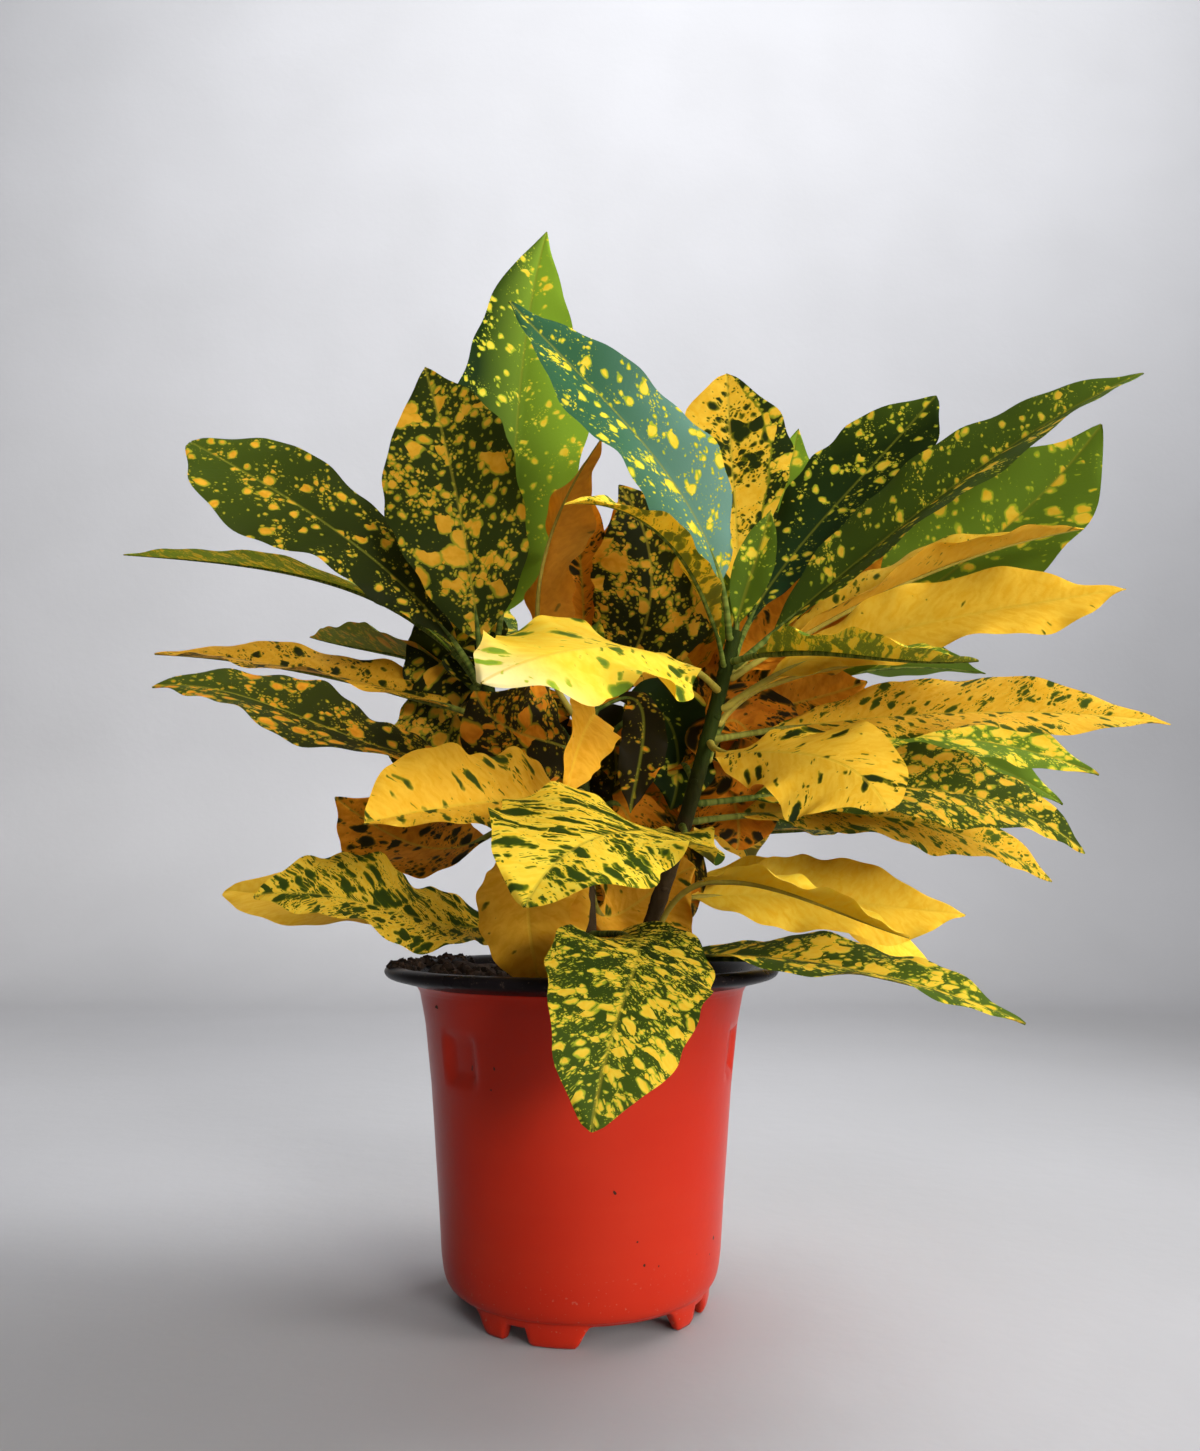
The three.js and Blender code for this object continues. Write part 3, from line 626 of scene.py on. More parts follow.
def leaf_finish(part):
    """The face, the underside or the stalk of a leaf."""
    roughness = 0.62 if part == "underside" else 0.5
    material, tree, shader = surface(f"leaf_{part}", roughness, 0.045)
    labels = ("leaf_place", "leaf_nature", "leaf_marks")
    read = (term(tree, "ShaderNodeAttribute", out="Vector", attribute_name=label) for label in labels)
    (x, y, seed), (gold, warm, light), (size, streak, near_rib) = (value.parts() for value in read)

    # Spots of three sizes, longer along the side veins, and clouds that join them
    away = x.abs()
    own = seed + x.sign() * 3.3
    here = joined(x + own * 13, y + own * 29, 0.0)
    wobble = noise(here, 0.2, 2.0, dimensions="2D") * 2.6
    with_vein = (away * VEIN_COS + y * VEIN_SIN) * (1.0 - streak * 0.75) + wobble
    over_veins = y * VEIN_COS - away * VEIN_SIN
    spot_place = joined(with_vein / size + own * 13, (over_veins + wobble) / size + own * 29, 0.0)
    largest = gold.step(0.38, 0.48, 0.5, 0.75) - gold.step(0.49, 0.53, 0.0, 0.25)
    spots = None
    for scale, weight, shift in ((0.13, 1.0, 0.0), (0.3, 0.62, 5.0), (0.75, 0.42, 9.0)):
        values = {"Vector": spot_place + (shift, shift, 0), "Scale": scale}
        cell = add(tree, "ShaderNodeTexVoronoi", values, voronoi_dimensions="2D")
        chance = term(tree, "ShaderNodeSeparateColor", {0: cell.outputs["Color"]})
        spot = ((chance * chance * 0.8).least(largest) - cell.outputs["Distance"]) * weight
        spots = spot if spots is None else spots.most(spot)
    patches = noise(spot_place, 0.07, 2.0, 0.5, dimensions="2D")
    marked = gold.least(1 - gold).most(0.001)
    share = (marked / (1 - marked)).number("LOGARITHM", math.e) * 0.1 - gold.step(0.53, 0.49, 0.058, 0.092)
    field = spots + (patches - 0.5) * 0.8 + share
    field = field * gold.step(0.49, 0.53, 1.0, -1.0) + near_rib * away.step(13.0, 0.0) * 0.3

    # The green (with a painted reflection below nought lightness), its rim beside the gold, and the gold
    shade = blended(warm, (0.014, 0.035, 0.006), (0.020, 0.012, 0.005))
    # Painted reflection: a lightness below nought turns the deepest green bluish, as sky seen in the gloss
    shade = blended(light.step(0.0, -1.0), shade, (0.04, 0.13, 0.06))
    shade = blended(light.step(-1.0, -2.0), shade, (0.20, 0.37, 0.32))
    # Lighter green and rim with the lightness: partly the leaf's own tone, partly painted light
    dark = blended(light, shade, (0.27, 0.43, 0.035))
    halo = blended(warm, (0.12, 0.16, 0.006), (0.15, 0.08, 0.005))
    lime = blended(warm, (0.40, 0.48, 0.03), (0.30, 0.22, 0.012))
    halo = blended(gold.step(0.55, 0.45), halo, lime)
    halo = blended(light, halo, (0.44, 0.54, 0.03))
    pale = blended(warm, (0.92, 0.73, 0.075), (0.78, 0.26, 0.010))
    rich = blended(warm, (0.92, 0.62, 0.03), (0.55, 0.13, 0.005))
    cloud = noise(spot_place, 0.3, 2.0, dimensions="2D")
    colour = blended(cloud.step(0.2, 0.85), pale, rich)
    # Painted highlight: the lightest parts of a gold leaf turn pale yellow-white, as gloss lit from above
    painted_highlight = light.step(0.6, 1.3) * gold.step(0.5, 0.6)
    colour = blended(painted_highlight, colour, (0.93, 0.88, 0.52))
    colour = blended(field.step(-0.01, 0.09), halo, colour)
    colour = blended(field.step(-0.09, -0.01), dark, colour)

    # The midrib, and what is paler below and on the stalk
    rib_line = away.step(0.75, 0.2)
    rib_tint = blended(gold, (0.17, 0.24, 0.02), (0.85, 0.58, 0.05))
    colour = blended(rib_line * 0.45, colour, rib_tint)
    if part == "underside":
        colour = blended(0.35, colour, blended(gold, (0.14, 0.20, 0.07), (0.62, 0.34, 0.06)))
    if part == "stalk":
        colour = blended(cloud.step(0.3, 0.7), (0.05, 0.08, 0.012), (0.15, 0.18, 0.03))
        colour = blended(gold.step(0.6, 1.0) * 0.5, colour, (0.60, 0.42, 0.06))

    # Side veins and grain, and the light that shines through the blade
    bowed = over_veins + (away * 0.3 + own).sin() * 0.6
    spaced = (bowed / VEIN_SPACING).number("FRACT") - 0.5
    side_veins = spaced.abs().step(0.0, 0.16, 1.0, 0.0) * away.step(0.3, 1.5)
    grain = noise(here, 0.9, 2.0, 0.6, dimensions="2D")
    sunk = -1.0 if part == "face" else 1.0
    height = side_veins * sunk * 0.1 + rib_line * sunk * 0.5 + grain * 0.35
    dressed(shader, colour, height, 0.4 * MM, 0.5)
    if part != "stalk":
        glow = blended(0.14, colour, (0.75, 0.80, 0.03))
        through = add(tree, "ShaderNodeBsdfTranslucent", {"Color": glow})
        both = add(tree, "ShaderNodeMixShader", {0: 0.4, 1: shader.outputs[0], 2: through.outputs[0]})
        tree.links.new(both.outputs[0], tree.nodes["Material Output"].inputs["Surface"])
    return material


leaf_face, leaf_underside, leaf_stalk = (leaf_finish(part) for part in ("face", "underside", "stalk"))


def stored(geometry, **attributes):
    """The geometry with vectors that its points keep by name."""
    for name, value in attributes.items():
        values = {"Geometry": geometry, "Name": name, "Value": value}
        geometry = node(
            geometry.tree, "StoreNamedAttribute", values, data_type="FLOAT_VECTOR", domain="POINT")
    return geometry


def squared(facing, tangent):
    """The direction nearest to facing that is square to the rib."""
    return (facing - tangent * tangent.dot(facing)).unit()


leaf_tree, given = new_tree(
    "leaf", Geometry="rib", Vector="facing marks", Int="points_along points_across",
    Float="width stalk_share length fold ruffle fullest fill twist phase pattern gold lean warmth lightness "
    "side_glow tip_glow stalk_radius thickness", Material="face underside stalk")
tree = leaf_tree

# The blade: a flat sheet, of which s runs along it and side across it, laid on the rib
rib = node(tree, "MeshToCurve", {0: given.rib})
sheet = node(tree, "MeshGrid", {
    "Size X": 2.0, "Size Y": 1.0, "Vertices X": given.points_across, "Vertices Y": given.points_along})
side, s, _ = node(tree, "InputPosition").parts()
s = s + 0.5
t = given.stalk_share + (1 - given.stalk_share) * s
sample = add(tree, "GeometryNodeSampleCurve", {"Curves": rib, "Factor": t})
centre, tangent = Term(tree, sample.outputs["Position"]), Term(tree, sample.outputs["Tangent"])
flat_up = squared(given.facing, tangent)
turned_by = given.twist * s
up = flat_up * (turned_by + math.pi / 2).sin() + tangent.cross(flat_up) * turned_by.sin()
across = tangent.cross(up)

# Its outline, with lobes, nicks and a drawn-out tip, then its fold, waves and thickness
exponent = term(tree, "ShaderNodeMath", {0: 0.5, 1: given.fullest}, operation="LOGARITHM")
spread = (s ** exponent * math.pi).sin().most(0.0) ** given.fill
edge_side = side.sign()
lobes = 1 + (s * LOBES + edge_side * 2 + given.phase).sin() * (given.ruffle * LOBE_DEPTH)
nicks = 1 + (s * NICKS + edge_side * 1.1 + given.phase * 2).sin() * (given.ruffle * NICK_DEPTH)
drawn_out = s.step(0.84, 0.97, 1.0, 0.72)
half = given.width * 0.5 * spread * lobes * nicks * drawn_out
half = half.most(given.stalk_radius * (1 - s * 0.75))
reach = side.abs()
crown = (reach * math.pi).sin() * CROWN
wave = (s * WAVES + side * 1.3 + given.phase).sin() * (s * math.pi).sin() * given.ruffle * reach ** 2.0
ripple = (s * RIPPLES + side * 3 + given.phase).sin() * RIPPLE_SHARE * given.ruffle * reach ** 3.0
lift = half * (reach + crown) * given.fold.sin() + wave + ripple
middle = centre + across * (side * half) + up * lift
thick = given.thickness * 0.5 * (1 - reach ** 8.0) * (1 - (s * 2 - 1).abs() ** 60.0)
place = joined(side * half * 1000, given.length * t * 1000, given.pattern)
# Painted light: some leaves are painted lighter towards the tip and on the right half, as if lit through
lightness = given.lightness + given.side_glow * side + given.tip_glow * s ** 2.0
tone_and_painted_light = joined(given.gold + given.lean * side, given.warmth, lightness)

sheet = stored(sheet, leaf_place=place, leaf_nature=tone_and_painted_light, leaf_marks=given.marks)
top = node(tree, "SetPosition", {0: sheet, "Position": middle + up * thick})
top = node(tree, "SetMaterial", {0: top, "Material": given.face})
bottom = node(tree, "SetPosition", {0: sheet, "Position": middle - up * thick})
bottom = node(tree, "FlipFaces", {0: bottom})
bottom = node(tree, "SetMaterial", {0: bottom, "Material": given.underside})
blade = node(tree, "MergeByDistance", {0: together(tree, top, bottom), "Distance": 1e-6})
blade = node(tree, "SetShadeSmooth", {0: blade}, domain="FACE")
sharp = node(tree, "InputMeshEdgeAngle").number("GREATER_THAN", SHARP_EDGE)
blade = node(tree, "SetShadeSmooth", {0: blade, "Selection": sharp, "Shade Smooth": False}, domain="EDGE")

# The stalk and the midrib: one tube, which sinks into the blade and thins towards the tip
factor = node(tree, "SplineParameter", out="Factor")
on_blade = ((factor - given.stalk_share) / (1 - given.stalk_share)).most(0.0)
up = squared(given.facing, node(tree, "InputTangent"))
swell = 1 + factor.step(0.08, 0.0, 0.0, 0.2)
girth = given.stalk_radius * (1 - on_blade * 0.78) * swell
sink = (girth - 0.16 * MM) * on_blade.step(0.0, 0.14)
place = joined(0.0, given.length * factor * 1000, given.pattern)
tone_and_painted_light = joined(given.gold, given.warmth, given.lightness)
rib = stored(rib, leaf_place=place, leaf_nature=tone_and_painted_light, leaf_marks=given.marks)
rib = node(tree, "SetPosition", {0: rib, "Offset": up * (sink * -1)})
stalk = tube(tree, rib, girth, STALK_SIDES)
stalk = node(tree, "SetMaterial", {0: stalk, "Material": given.stalk})
end_tree(tree, together(tree, stalk, blade))


def lengths_along(points):
    return np.cumsum([0] + [norm(b - a) for a, b in zip(points, points[1:])])


def rib_points(line):
    """The cubic curve through four points, with the knots at its chords."""
    p = [np.array(q, float) for q in line]
    knots = lengths_along(p)
    knots = knots / knots[-1]
    made = []
    for t in np.linspace(0, 1, RIB_STEPS + 1):
        shares = [
            np.prod([(t - knots[j]) / (knots[i] - knots[j]) for j in range(4) if j != i]) for i in range(4)]
        made.append(sum(share * q for share, q in zip(shares, p)))
    return made


def grow_leaf(name, line, stalk, shape, looks, marks, inner=None, along=72, across=19):
    """One leaf. line has four points in millimetres, and inner is a point inside the stem."""
    width, facing, fold, ruffle, fullest, fill, twist = shape
    gold, warm, light = looks
    size, streak, near_rib, tip_glow, side_glow, lean = (*marks, 0, 0, 0, 0)[:6]
    tip, points = line[-1], rib_points(line)
    lengths = lengths_along(points)
    before = 0.0
    if inner is not None:
        before = float(norm(points[0] - inner))
        points.insert(0, inner)
    total = before + lengths[-1]
    stalk_share = (before + float(np.interp(stalk, np.linspace(0, 1, RIB_STEPS + 1), lengths))) / total
    piece = chain(name, points, [])
    grown(
        piece, leaf_tree, width=width * MM, stalk_share=stalk_share, length=total * MM,
        facing=Vector(facing).normalized(), fold=math.radians(fold), ruffle=ruffle * MM, fullest=fullest,
        fill=fill, twist=math.radians(twist), phase=float(width), pattern=float(tip[0] * 0.7 + tip[2] * 1.3),
        gold=gold, lean=lean, warmth=warm, lightness=light, side_glow=side_glow, tip_glow=tip_glow,
        marks=(size, streak, near_rib), points_along=along, points_across=across,
        stalk_radius=STALK_RADIUS * min(1, width / 24) * MM, thickness=BLADE_THICKNESS * MM,
        face=leaf_face, underside=leaf_underside, stalk=leaf_stalk)
    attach(piece, "root")
    return piece


# Each stem's leaves: name, height of the joint, stalk's share, two points on the rib, the tip, width, where
# the face looks, fold, ruffle, how far along it is fullest, how square its ends are (less is squarer), share
# of gold, how warm the gold is (the dark browns inside the plant are partly painted shade) and how light
# the green (partly its own tone and partly painted light; below nought a painted reflection). The leaves
# that show best also have their own marks: their size, how far they run along the side veins, how much the
# gold keeps to the rib, how much painted light brightens the tip and the right half, and how much more gold
# the right half has.
LEAVES = {}
LEAVES["left"] = [
    # Back tall: its right half and tip are painted lighter, as light shining through them
    ("back_tall", 201, 0.14, (-28, 12, 250), (-25, 18, 313), (-15, 20, 385), 50, (2, -10, 1),
     18, 2, 0.43, 0.8, 0.16, 0, 0.36, (0.6, 0.2, 0, 0.7, 0.75)),
    ("speckled_upright", 203, 0.1, (-38, -8, 231), (-45, -12, 269), (-57, -6, 314), 48, (-1, -10, 1),
     8, 2, 0.46, 0.8, 0.42, 0.55, 0.05, (1.0, 0.2, 0.15)),
    ("high", 200, 0.1, (-61, 2, 232), (-100, -4, 262), (-142, 0, 288), 46, (3, -8, 4),
     5, 2.5, 0.66, 0.55, 0.21, 0.6, 0, (0.75, 0.1, 0, 0.22)),
    ("thin", 196, 0.12, (-75, 24, 235), (-126, 38, 253), (-185, 46, 261), 32, (1, -1, 10),
     12, 1, 0.5, 0.8, 0.45, 0, 0.7, (0.3, 0.6, 0, 0.4)),
    ("back_small", 192, 0.14, (-55, 32, 212), (-83, 58, 224), (-119, 82, 236), 38, (2, 1, 10),
     15, 1.5, 0.5, 0.8, 0.45, 0.7, 0.5),
    ("yellow_edge", 187, 0.12, (-68, 20, 200), (-115, 26, 211), (-162, 28, 216), 40, (1, -4, 9),
     14, 2, 0.5, 0.8, 0.7, 0.5, 0, (0.6, 0.7, 0, 0, 0, 0.14)),
    ("dark_broad", 177, 0.1, (-52, -16, 171), (-91, -26, 183), (-137, -30, 192), 42, (0, -5, 9),
     10, 2, 0.5, 0.65, 0.36, 0.8, 0, (0.85, 0.15, 0, 0.2)),
    ("brown", 152, 0.12, (-55, 28, 143), (-74, 42, 149), (-98, 52, 164), 40, (2, -8, 5),
     8, 2, 0.5, 0.8, 0.72, 0.85, 0, (0.9, 0.3)),
    ("low_speckled", 121, 0.12, (-50, -28, 119), (-74, -44, 126), (-94, -52, 126), 42, (0, -6, 8),
     12, 2.5, 0.5, 0.6, 0.6, 0.2, 0.08, (0.42, 0.8)),
    ("back_orange", 117, 0.12, (-71, 52, 119), (-113, 76, 124), (-153, 92, 128), 40, (0, -5, 8),
     8, 1.5, 0.7, 0.45, 1, 0.3, 0.1),
    ("rear_high", 195, 0.12, (-42, 46, 232), (-62, 82, 257), (-86, 112, 265), 42, (-1, 5, 10),
     12, 2, 0.5, 0.8, 0.3, 0.1, 0.2),
    ("rear_low", 145, 0.14, (-34, 42, 166), (-54, 80, 175), (-76, 112, 165), 42, (-1, 4, 10),
     12, 2, 0.5, 0.8, 0.5, 0.2, 0.1),
]
LEAVES["middle"] = [
    ("yellow_folded", 161, 0.16, (-21, -48, 154), (-40, -66, 150), (-56, -82, 145), 34, (1, -8, 6),
     30, 3, 0.6, 0.55, 0.83, 0.38, 0.1, (0.5, 0.9, 0.1)),
    ("dark_left", 173, 0.14, (-12, -12, 177), (-24, -22, 180), (-34, -30, 191), 40, (-1, -10, 2),
     8, 2, 0.5, 0.8, 0.45, 0.9, 0),
    ("orange_upright", 189, 0.12, (-15, -6, 224), (-9, -14, 252), (7, -22, 280), 36, (9, 4, 1),
     15, 4, 0.5, 0.8, 0.99, 0.75, 0),
    ("spotted_back", 192, 0.12, (22, 20, 223), (25, 22, 251), (13, 18, 279), 46, (0, -10, 1),
     5, 2, 0.5, 0.8, 0.44, 0.6, 0, (1.1, 0.2)),
    ("hanging_yellow", 179, 0.16, (3, -34, 181), (-1, -50, 169), (-4, -58, 153), 20, (8, -5, 4),
     25, 2, 0.5, 0.8, 0.99, 0.5, 0),
    ("shade_front", 188, 0.14, (19, 2, 193), (20, -7, 174), (16, -14, 153), 16, (0, -10, 2),
     8, 2, 0.5, 0.8, 0.2, 0.9, 0),
    ("shade_right", 173, 0.14, (30, 7, 187), (33, 2, 173), (30, -2, 155), 32, (1, -10, 2),
     8, 2, 0.5, 0.8, 0.15, 0.2, 0),
    ("low_tan", 141, 0.16, (-15, -31, 135), (-15, -42, 118), (-11, -40, 98), 30, (-2, -10, 3),
     5, 2, 0.5, 0.5, 0.97, 0.5, 0),
    ("low_back", 129, 0.14, (10, 12, 119), (24, 18, 127), (40, 17, 136), 44, (0, -9, 4),
     8, 2, 0.5, 0.8, 0.85, 0.6, 0.1),
    ("front_droop", 113, 0.12, (17, -52, 111), (9, -88, 92), (4, -98, 71), 44, (1, -9, 4),
     3, 2, 0.5, 0.58, 0.44, 0.12, 0, (0.36, 0.55, 0, 0.2, 0, -0.03)),
    ("rear_high", 195, 0.12, (0, 48, 229), (6, 84, 251), (14, 118, 257), 42, (0, 5, 10),
     12, 2, 0.5, 0.8, 0.25, 0.1, 0.2),
    ("rear_low", 154, 0.14, (-6, 50, 169), (-12, 88, 173), (-16, 118, 157), 44, (0, 4, 10),
     12, 2, 0.5, 0.8, 0.35, 0.2, 0.1),
]
LEAVES["right"] = [
    # Blue gloss: a lightness below nought paints a sky reflection on it, bluish white at the base
    ("blue_gloss", 210, 0.14, (41, -31, 239), (12, -42, 278), (-23, -50, 313), 46, (4, -8, 4),
     12, 2, 0.45, 0.8, 0.25, 0.1, -1.5, (0.65, 0.35, 0, 0.9, -0.2)),
    ("gold_upright", 210, 0.12, (55, 0, 240), (55, 10, 282), (54, 12, 321), 42, (0, -10, 1),
     8, 2, 0.68, 0.6, 0.65, 0.3, 0, (0.8, 0.4, 0.1, 0, 0, -0.22)),
    # Dark: a lightness below nought paints a faint blue-green reflection at its base
    ("dark", 205, 0.1, (74, 4, 245), (104, 10, 280), (132, 10, 311), 44, (-3, -8, 4),
     8, 2, 0.66, 0.7, 0.18, 0.2, -0.25, (0.65, 0.25, 0, 0.4, -0.1)),
    ("long", 202, 0.1, (93, -20, 237), (135, -30, 268), (186, -34, 297), 38, (-3, -6, 7),
     22, 1.5, 0.5, 0.8, 0.2, 0.3, 0.12, (0.55, 0.6, 0, 0.2)),
    ("thin_yellow", 198, 0.14, (101, -11, 228), (138, -15, 242), (170, -18, 249), 30, (0, -3, 10),
     30, 2, 0.5, 0.8, 0.92, 0.3, 0.1),
    ("yellow", 188, 0.14, (91, -32, 207), (128, -45, 213), (167, -48, 219), 35, (0, -8, 6),
     10, 3, 0.5, 0.8, 0.985, 0.3, 0),
    ("thin_green", 203, 0.1, (71, -42, 201), (93, -65, 193), (110, -77, 190), 28, (0, -1, 10),
     25, 2, 0.5, 0.8, 0.46, 0.05, 0.5, (0.27, 1.0)),
    ("mid_yellow", 183, 0.22, (72, -4, 201), (98, -4, 206), (126, -5, 210), 24, (0, 1, 10),
     10, 1.5, 0.5, 0.8, 0.95, 0.35, 0),
    ("inner_orange", 200, 0.12, (77, 8, 224), (95, 9, 239), (110, 8, 250), 34, (-2, -8, 5),
     8, 2, 0.5, 0.8, 0.85, 0.85, 0),
    # Front gold: its tip is painted lighter, into the painted highlight
    ("front_gold", 193, 0.16, (22, -60, 196), (-1, -90, 190), (-22, -116, 176), 50, (0, -7, 7),
     -6, 4, 0.6, 0.7, 0.91, 0.05, 0.05, (0.9, 0.7, 0.1, 1.1)),
    ("front_yellow", 176, 0.12, (58, -52, 168), (76, -68, 161), (84, -74, 149), 42, (0, -8, 6),
     -6, 3, 0.7, 0.5, 0.88, 0.3, 0, (0.5, 0.9, 0.15)),
    ("speckled_long", 178, 0.14, (94, -8, 185), (140, -22, 185), (187, -30, 180), 42, (0, -6, 8),
     10, 2, 0.5, 0.8, 0.76, 0.35, 0.15, (0.45, 0.8, 0.15)),
    ("low_speckled", 157, 0.14, (91, -4, 162), (130, -8, 159), (167, -8, 140), 44, (0, -7, 8),
     10, 2, 0.5, 0.8, 0.42, 0.4, 0.12, (0.55, 0.4)),
    ("low_under", 151, 0.14, (95, 16, 155), (133, 22, 149), (169, 24, 131), 38, (0, -7, 8),
     10, 2, 0.5, 0.8, 0.7, 0.35, 0.2, (0.5, 0.5)),
    ("low_yellow", 111, 0.3, (48, -28, 131), (72, -38, 124), (97, -44, 114), 21, (1, 0, 10),
     25, 2, 0.5, 0.8, 1, 0, 0),
    ("low_long", 105, 0.12, (50, -34, 108), (85, -54, 104), (121, -66, 92), 40, (0, -2, 10),
     10, 2, 0.47, 0.68, 0.48, 0.15, 0.1, (0.8, 0.3, 0, 0.2)),
    ("front_speckled", 149, 0.12, (24, -58, 144), (6, -90, 141), (-11, -118, 124), 56, (-1, -7, 7),
     6, 4, 0.66, 0.7, 0.56, 0, 0.08, (0.5, 0.9)),
    ("arching_young", 201, 0.12, (35, -45, 224), (18, -65, 235), (-4, -80, 234), 18, (3, -3, 9),
     20, 1.5, 0.5, 0.8, 0.6, 0.1, 0.3, (0.5, 0.9)),
    ("blotched", 171, 0.14, (75, 12, 194), (90, 12, 198), (102, 11, 202), 32, (0, -10, 1),
     8, 2, 0.5, 0.8, 0.8, 0.8, 0),
]
LEAVES["back"] = [
    ("light_green", 192, 0.12, (66, 40, 237), (80, 52, 281), (90, 60, 321), 36, (-1, -10, 1),
     8, 2, 0.5, 0.8, 0.15, 0, 0.85),
    ("broad_green", 180, 0.12, (118, 14, 231), (157, 6, 261), (187, -2, 294), 52, (-3, -9, 3),
     8, 2, 0.62, 0.8, 0.25, 0.2, 0.5, (0.9, 0.5)),
    ("small_green", 187, 0.14, (110, 54, 215), (138, 64, 219), (166, 68, 217), 38, (0, 2, 10),
     12, 2, 0.5, 0.8, 0.04, 0, 0.6),
    ("speckled", 171, 0.14, (98, 50, 200), (130, 55, 206), (160, 57, 204), 34, (0, -3, 10),
     12, 2, 0.5, 0.8, 0.65, 0.1, 0.4, (0.6, 0.5)),
    ("far_one", 161, 0.14, (115, 27, 184), (158, 29, 181), (186, 18, 169), 40, (0, -7, 8),
     10, 2, 0.55, 0.8, 0.42, 0.1, 0.45),
    ("far_two", 155, 0.14, (113, 40, 182), (155, 46, 177), (181, 38, 160), 40, (0, -7, 8),
     10, 2, 0.5, 0.8, 0.12, 0, 0.5),
    ("dark_edge", 149, 0.14, (70, 49, 151), (100, 63, 153), (130, 71, 157), 34, (0, -3, 10),
     10, 2, 0.5, 0.8, 0.4, 0.3, 0.1),
    ("low_yellow", 124, 0.14, (69, 31, 126), (103, 33, 123), (142, 38, 119), 36, (0, -8, 6),
     8, 3, 0.5, 0.8, 1, 0.2, 0),
    ("low_pale", 113, 0.16, (59, 44, 130), (103, 54, 119), (137, 60, 95), 36, (0, -6, 8),
     8, 2, 0.5, 0.8, 1, 0.15, 0),
    ("rear_high", 189, 0.12, (56, 64, 217), (76, 92, 235), (94, 118, 237), 40, (1, 5, 10),
     12, 2, 0.5, 0.8, 0.3, 0.1, 0.2),
    ("rear_low", 139, 0.14, (44, 62, 151), (60, 92, 155), (74, 118, 139), 42, (1, 4, 10),
     12, 2, 0.5, 0.8, 0.6, 0.3, 0.1),
]
DARK_MARKS, GOLD_MARKS = (0.85, 0.25), (0.6, 0.75, 0.35)
GREEN_BELOW, GOLD_ABOVE = 0.37, 0.78


def leaf_on_stem(piece_name, stem_name, row, twist=0):
    joint, stalk, first, second, tip, *shape = row[:11]
    gold, warm, light, *own = row[11:]
    centre, along, radius = on_stem(stem_name, joint)
    outward = np.array([first[0] - centre[0], first[1] - centre[1], 0.0])
    outward /= norm(outward)
    outward -= along * outward.dot(along)
    outward /= norm(outward)
    root = centre + outward * (radius + GAP + STEM_BEND)
    slot_name = "leaf_green" if gold < GREEN_BELOW else "leaf_gold" if gold > GOLD_ABOVE else "leaf_blotched"
    marks = own[0] if own else DARK_MARKS if gold < 0.5 else GOLD_MARKS
    return grow_leaf(
        piece_name, [root, first, second, tip], stalk, (*shape, twist), (gold, warm, light), marks,
        inner=centre + outward * (radius * 0.5))


for stem_name, rows in LEAVES.items():
    for name, *row in rows:
        leaf = leaf_on_stem(f"blade_{stem_name}_{name}", stem_name, row)
        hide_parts(f"leaf_{stem_name}_{name}")

# Inner leaves
# Older leaves that hang and stand in the shade between the stems. They are browner and darker than
# the rest, partly with age and partly as painted shade. They are seen only in the gaps between the
# others, and close them.

# Each row has how far the blade twists, and then the values that the other leaves have, from the joint on.
INNER_LEAVES = {}
INNER_LEAVES["middle"] = [
    (15, 185, 0.15, (0, 22, 222), (-2, 26, 256), (-8, 28, 294), 26, (1, -10, 1),
     10, 3, 0.45, 0.7, 0.6, 0.9, 0),
    (0, 182, 0.15, (12, 26, 215), (17, 30, 245), (13, 30, 277), 34, (-1, -10, 1),
     8, 3, 0.5, 0.6, 0.62, 0.95, 0),
    (0, 168, 0.15, (-6, 16, 178), (-9, 18, 165), (-9, 20, 146), 38, (0, -10, 1),
     8, 2, 0.5, 0.6, 0.3, 0.95, 0),
    (10, 152, 0.2, (12, 0, 157), (17, -3, 147), (17, -5, 131), 26, (1, -10, 2),
     8, 2, 0.5, 0.6, 0.55, 0.9, 0),
    (0, 137, 0.2, (-4, -27, 131), (-4, -33, 118), (-4, -36, 103), 12, (4, -10, 2),
     40, 1, 0.5, 0.7, 0.92, 0.5, 0),
    (0, 177, 0.12, (10, 20, 184), (12, 24, 171), (10, 24, 150), 34, (0, -10, 1),
     8, 2, 0.5, 0.6, 0.3, 0.95, 0),
    (0, 174, 0.12, (-16, 22, 187), (-20, 25, 173), (-18, 26, 150), 34, (0, -10, 1),
     8, 2, 0.5, 0.6, 0.4, 0.95, 0),
]
INNER_LEAVES["right"] = [
    (0, 198, 0.12, (66, 4, 216), (83, 8, 234), (98, 10, 251), 34, (-2, -10, 3),
     8, 2, 0.5, 0.6, 0.85, 0.9, 0),
    (0, 172, 0.12, (58, 6, 183), (64, 10, 172), (68, 10, 156), 36, (0, -10, 1),
     6, 2, 0.5, 0.6, 0.6, 0.95, 0),
    (0, 163, 0.12, (30, 10, 168), (26, 14, 154), (26, 14, 138), 32, (0, -10, 1),
     6, 2, 0.5, 0.6, 0.5, 0.95, 0),
    (0, 164, 0.12, (48, 8, 172), (53, 12, 161), (54, 12, 142), 42, (0, -10, 1),
     6, 2, 0.5, 0.6, 0.72, 0.95, 0),
]
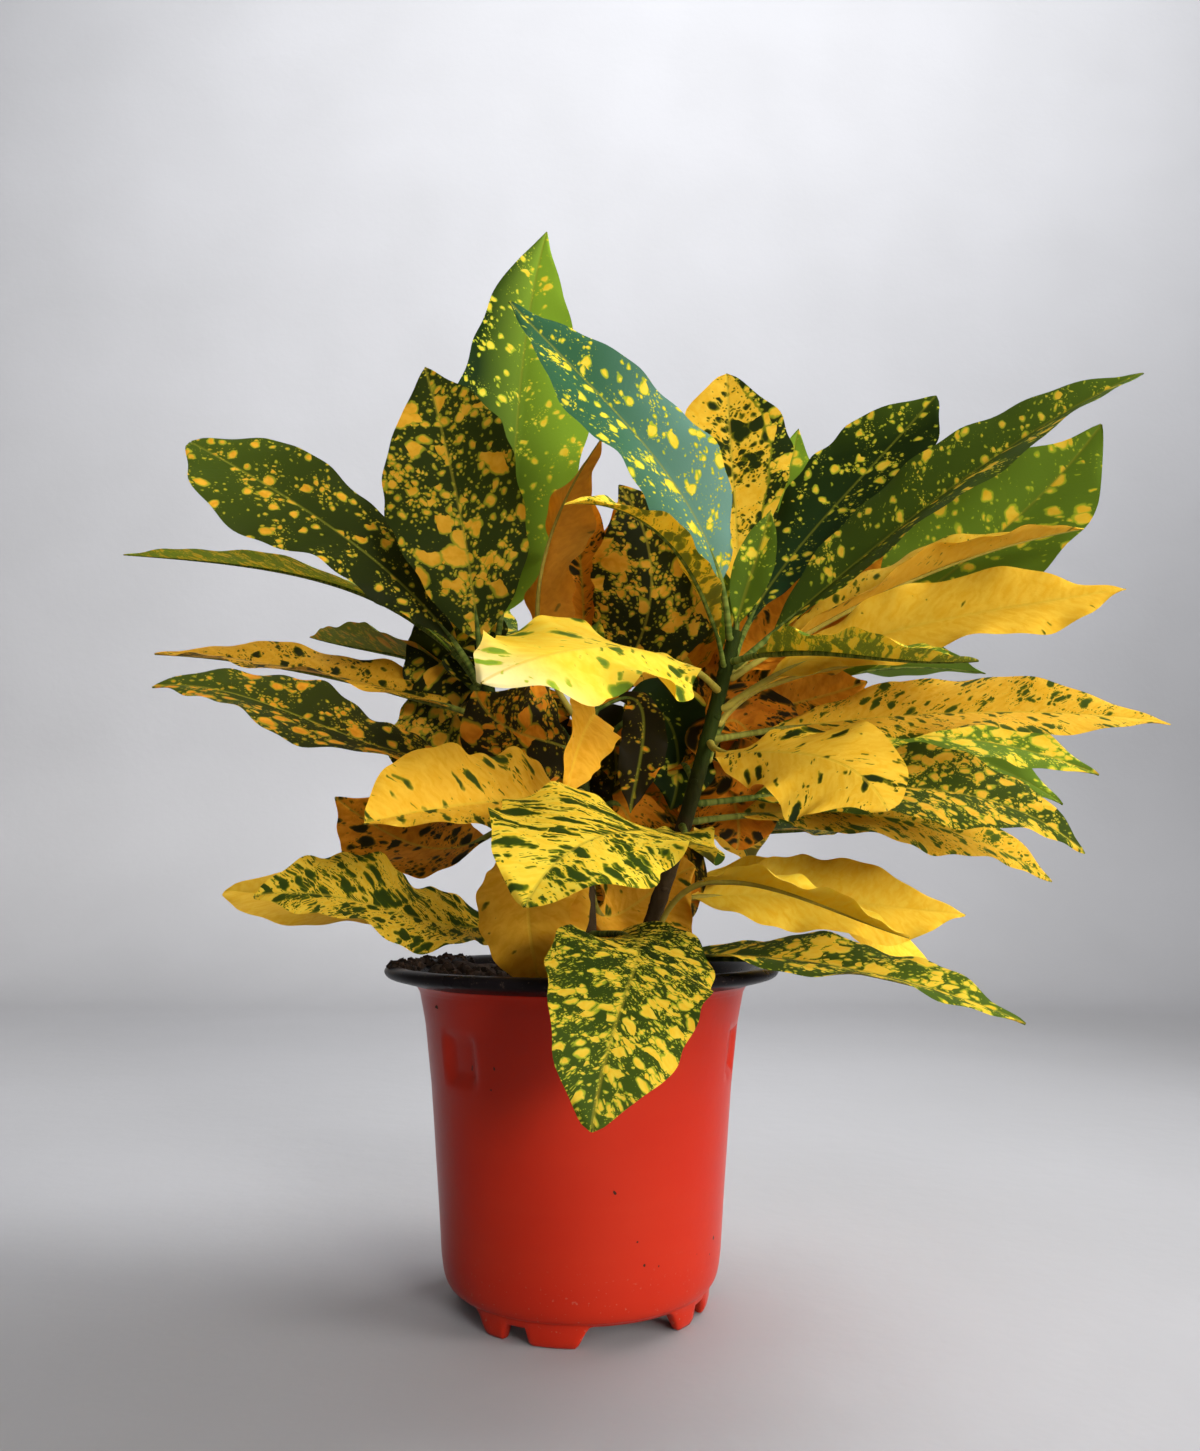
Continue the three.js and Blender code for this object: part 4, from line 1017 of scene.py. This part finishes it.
INNER_LEAVES["back"] = [
    (0, 186, 0.12, (40, 40, 212), (38, 44, 230), (32, 46, 250), 44, (0, -10, 1),
     6, 2, 0.5, 0.6, 0.5, 0.8, 0.1),
    (0, 178, 0.12, (60, 30, 200), (72, 32, 214), (86, 34, 226), 38, (0, -10, 3),
     6, 2, 0.5, 0.6, 0.7, 0.9, 0),
    (0, 160, 0.12, (32, 34, 138), (16, 32, 124), (-4, 28, 108), 38, (0, -10, 1),
     6, 2, 0.5, 0.6, 0.5, 0.9, 0),
]
INNER_LEAVES["left"] = [
    (0, 188, 0.12, (-22, 14, 186), (-14, 20, 172), (-10, 22, 152), 36, (0, -10, 1),
     6, 2, 0.5, 0.6, 0.45, 0.9, 0),
    (0, 184, 0.15, (-45, 20, 197), (-50, 24, 182), (-52, 24, 158), 42, (0, -10, 1),
     8, 2, 0.5, 0.6, 0.45, 0.6, 0),
    (0, 197, 0.12, (-44, 20, 217), (-51, 26, 208), (-60, 30, 190), 38, (0, -10, 2),
     8, 2, 0.5, 0.6, 0.3, 0.5, 0),
]
for stem_name, rows in INNER_LEAVES.items():
    for number, (twist, *row) in enumerate(rows):
        leaf_on_stem(f"inner_leaf_{stem_name}_{number + 1}", stem_name, row, twist)

# Young leaves
# At each crown two young leaves stand up, still narrow and greener than the rest. They are grown in one with
# their stem, whose solid holds them in a plainer form.

YOUNG_LEAVES = {
    "left": [(-44, 12, 238, 9), (-31, 3, 246, 10)],
    "middle": [(-8, 6, 229, 10), (6, 18, 227, 9)],
    "right": [(62, -30, 251, 13), (42, -10, 243, 10)],
    "back": [(34, 40, 224, 9), (46, 48, 218, 9)],
}
for stem_name, rows in YOUNG_LEAVES.items():
    crown = stem_point(STEMS[stem_name][0], 0.98)
    for number, (x, y, z, width) in enumerate(rows):
        tip = np.array([x, y, z], float)
        first = crown + (tip - crown) * 0.35 + np.array([0, 0, 1.5])
        grow_leaf(
            f"young_leaf_{stem_name}_{number + 1}", [crown, first, crown + (tip - crown) * 0.7, tip], 0.12,
            (width, (0, -1, 0.3), 25, 0.4, 0.5, 0.8, 0), (0.3, 0, 0.35), DARK_MARKS,
            along=36, across=9)
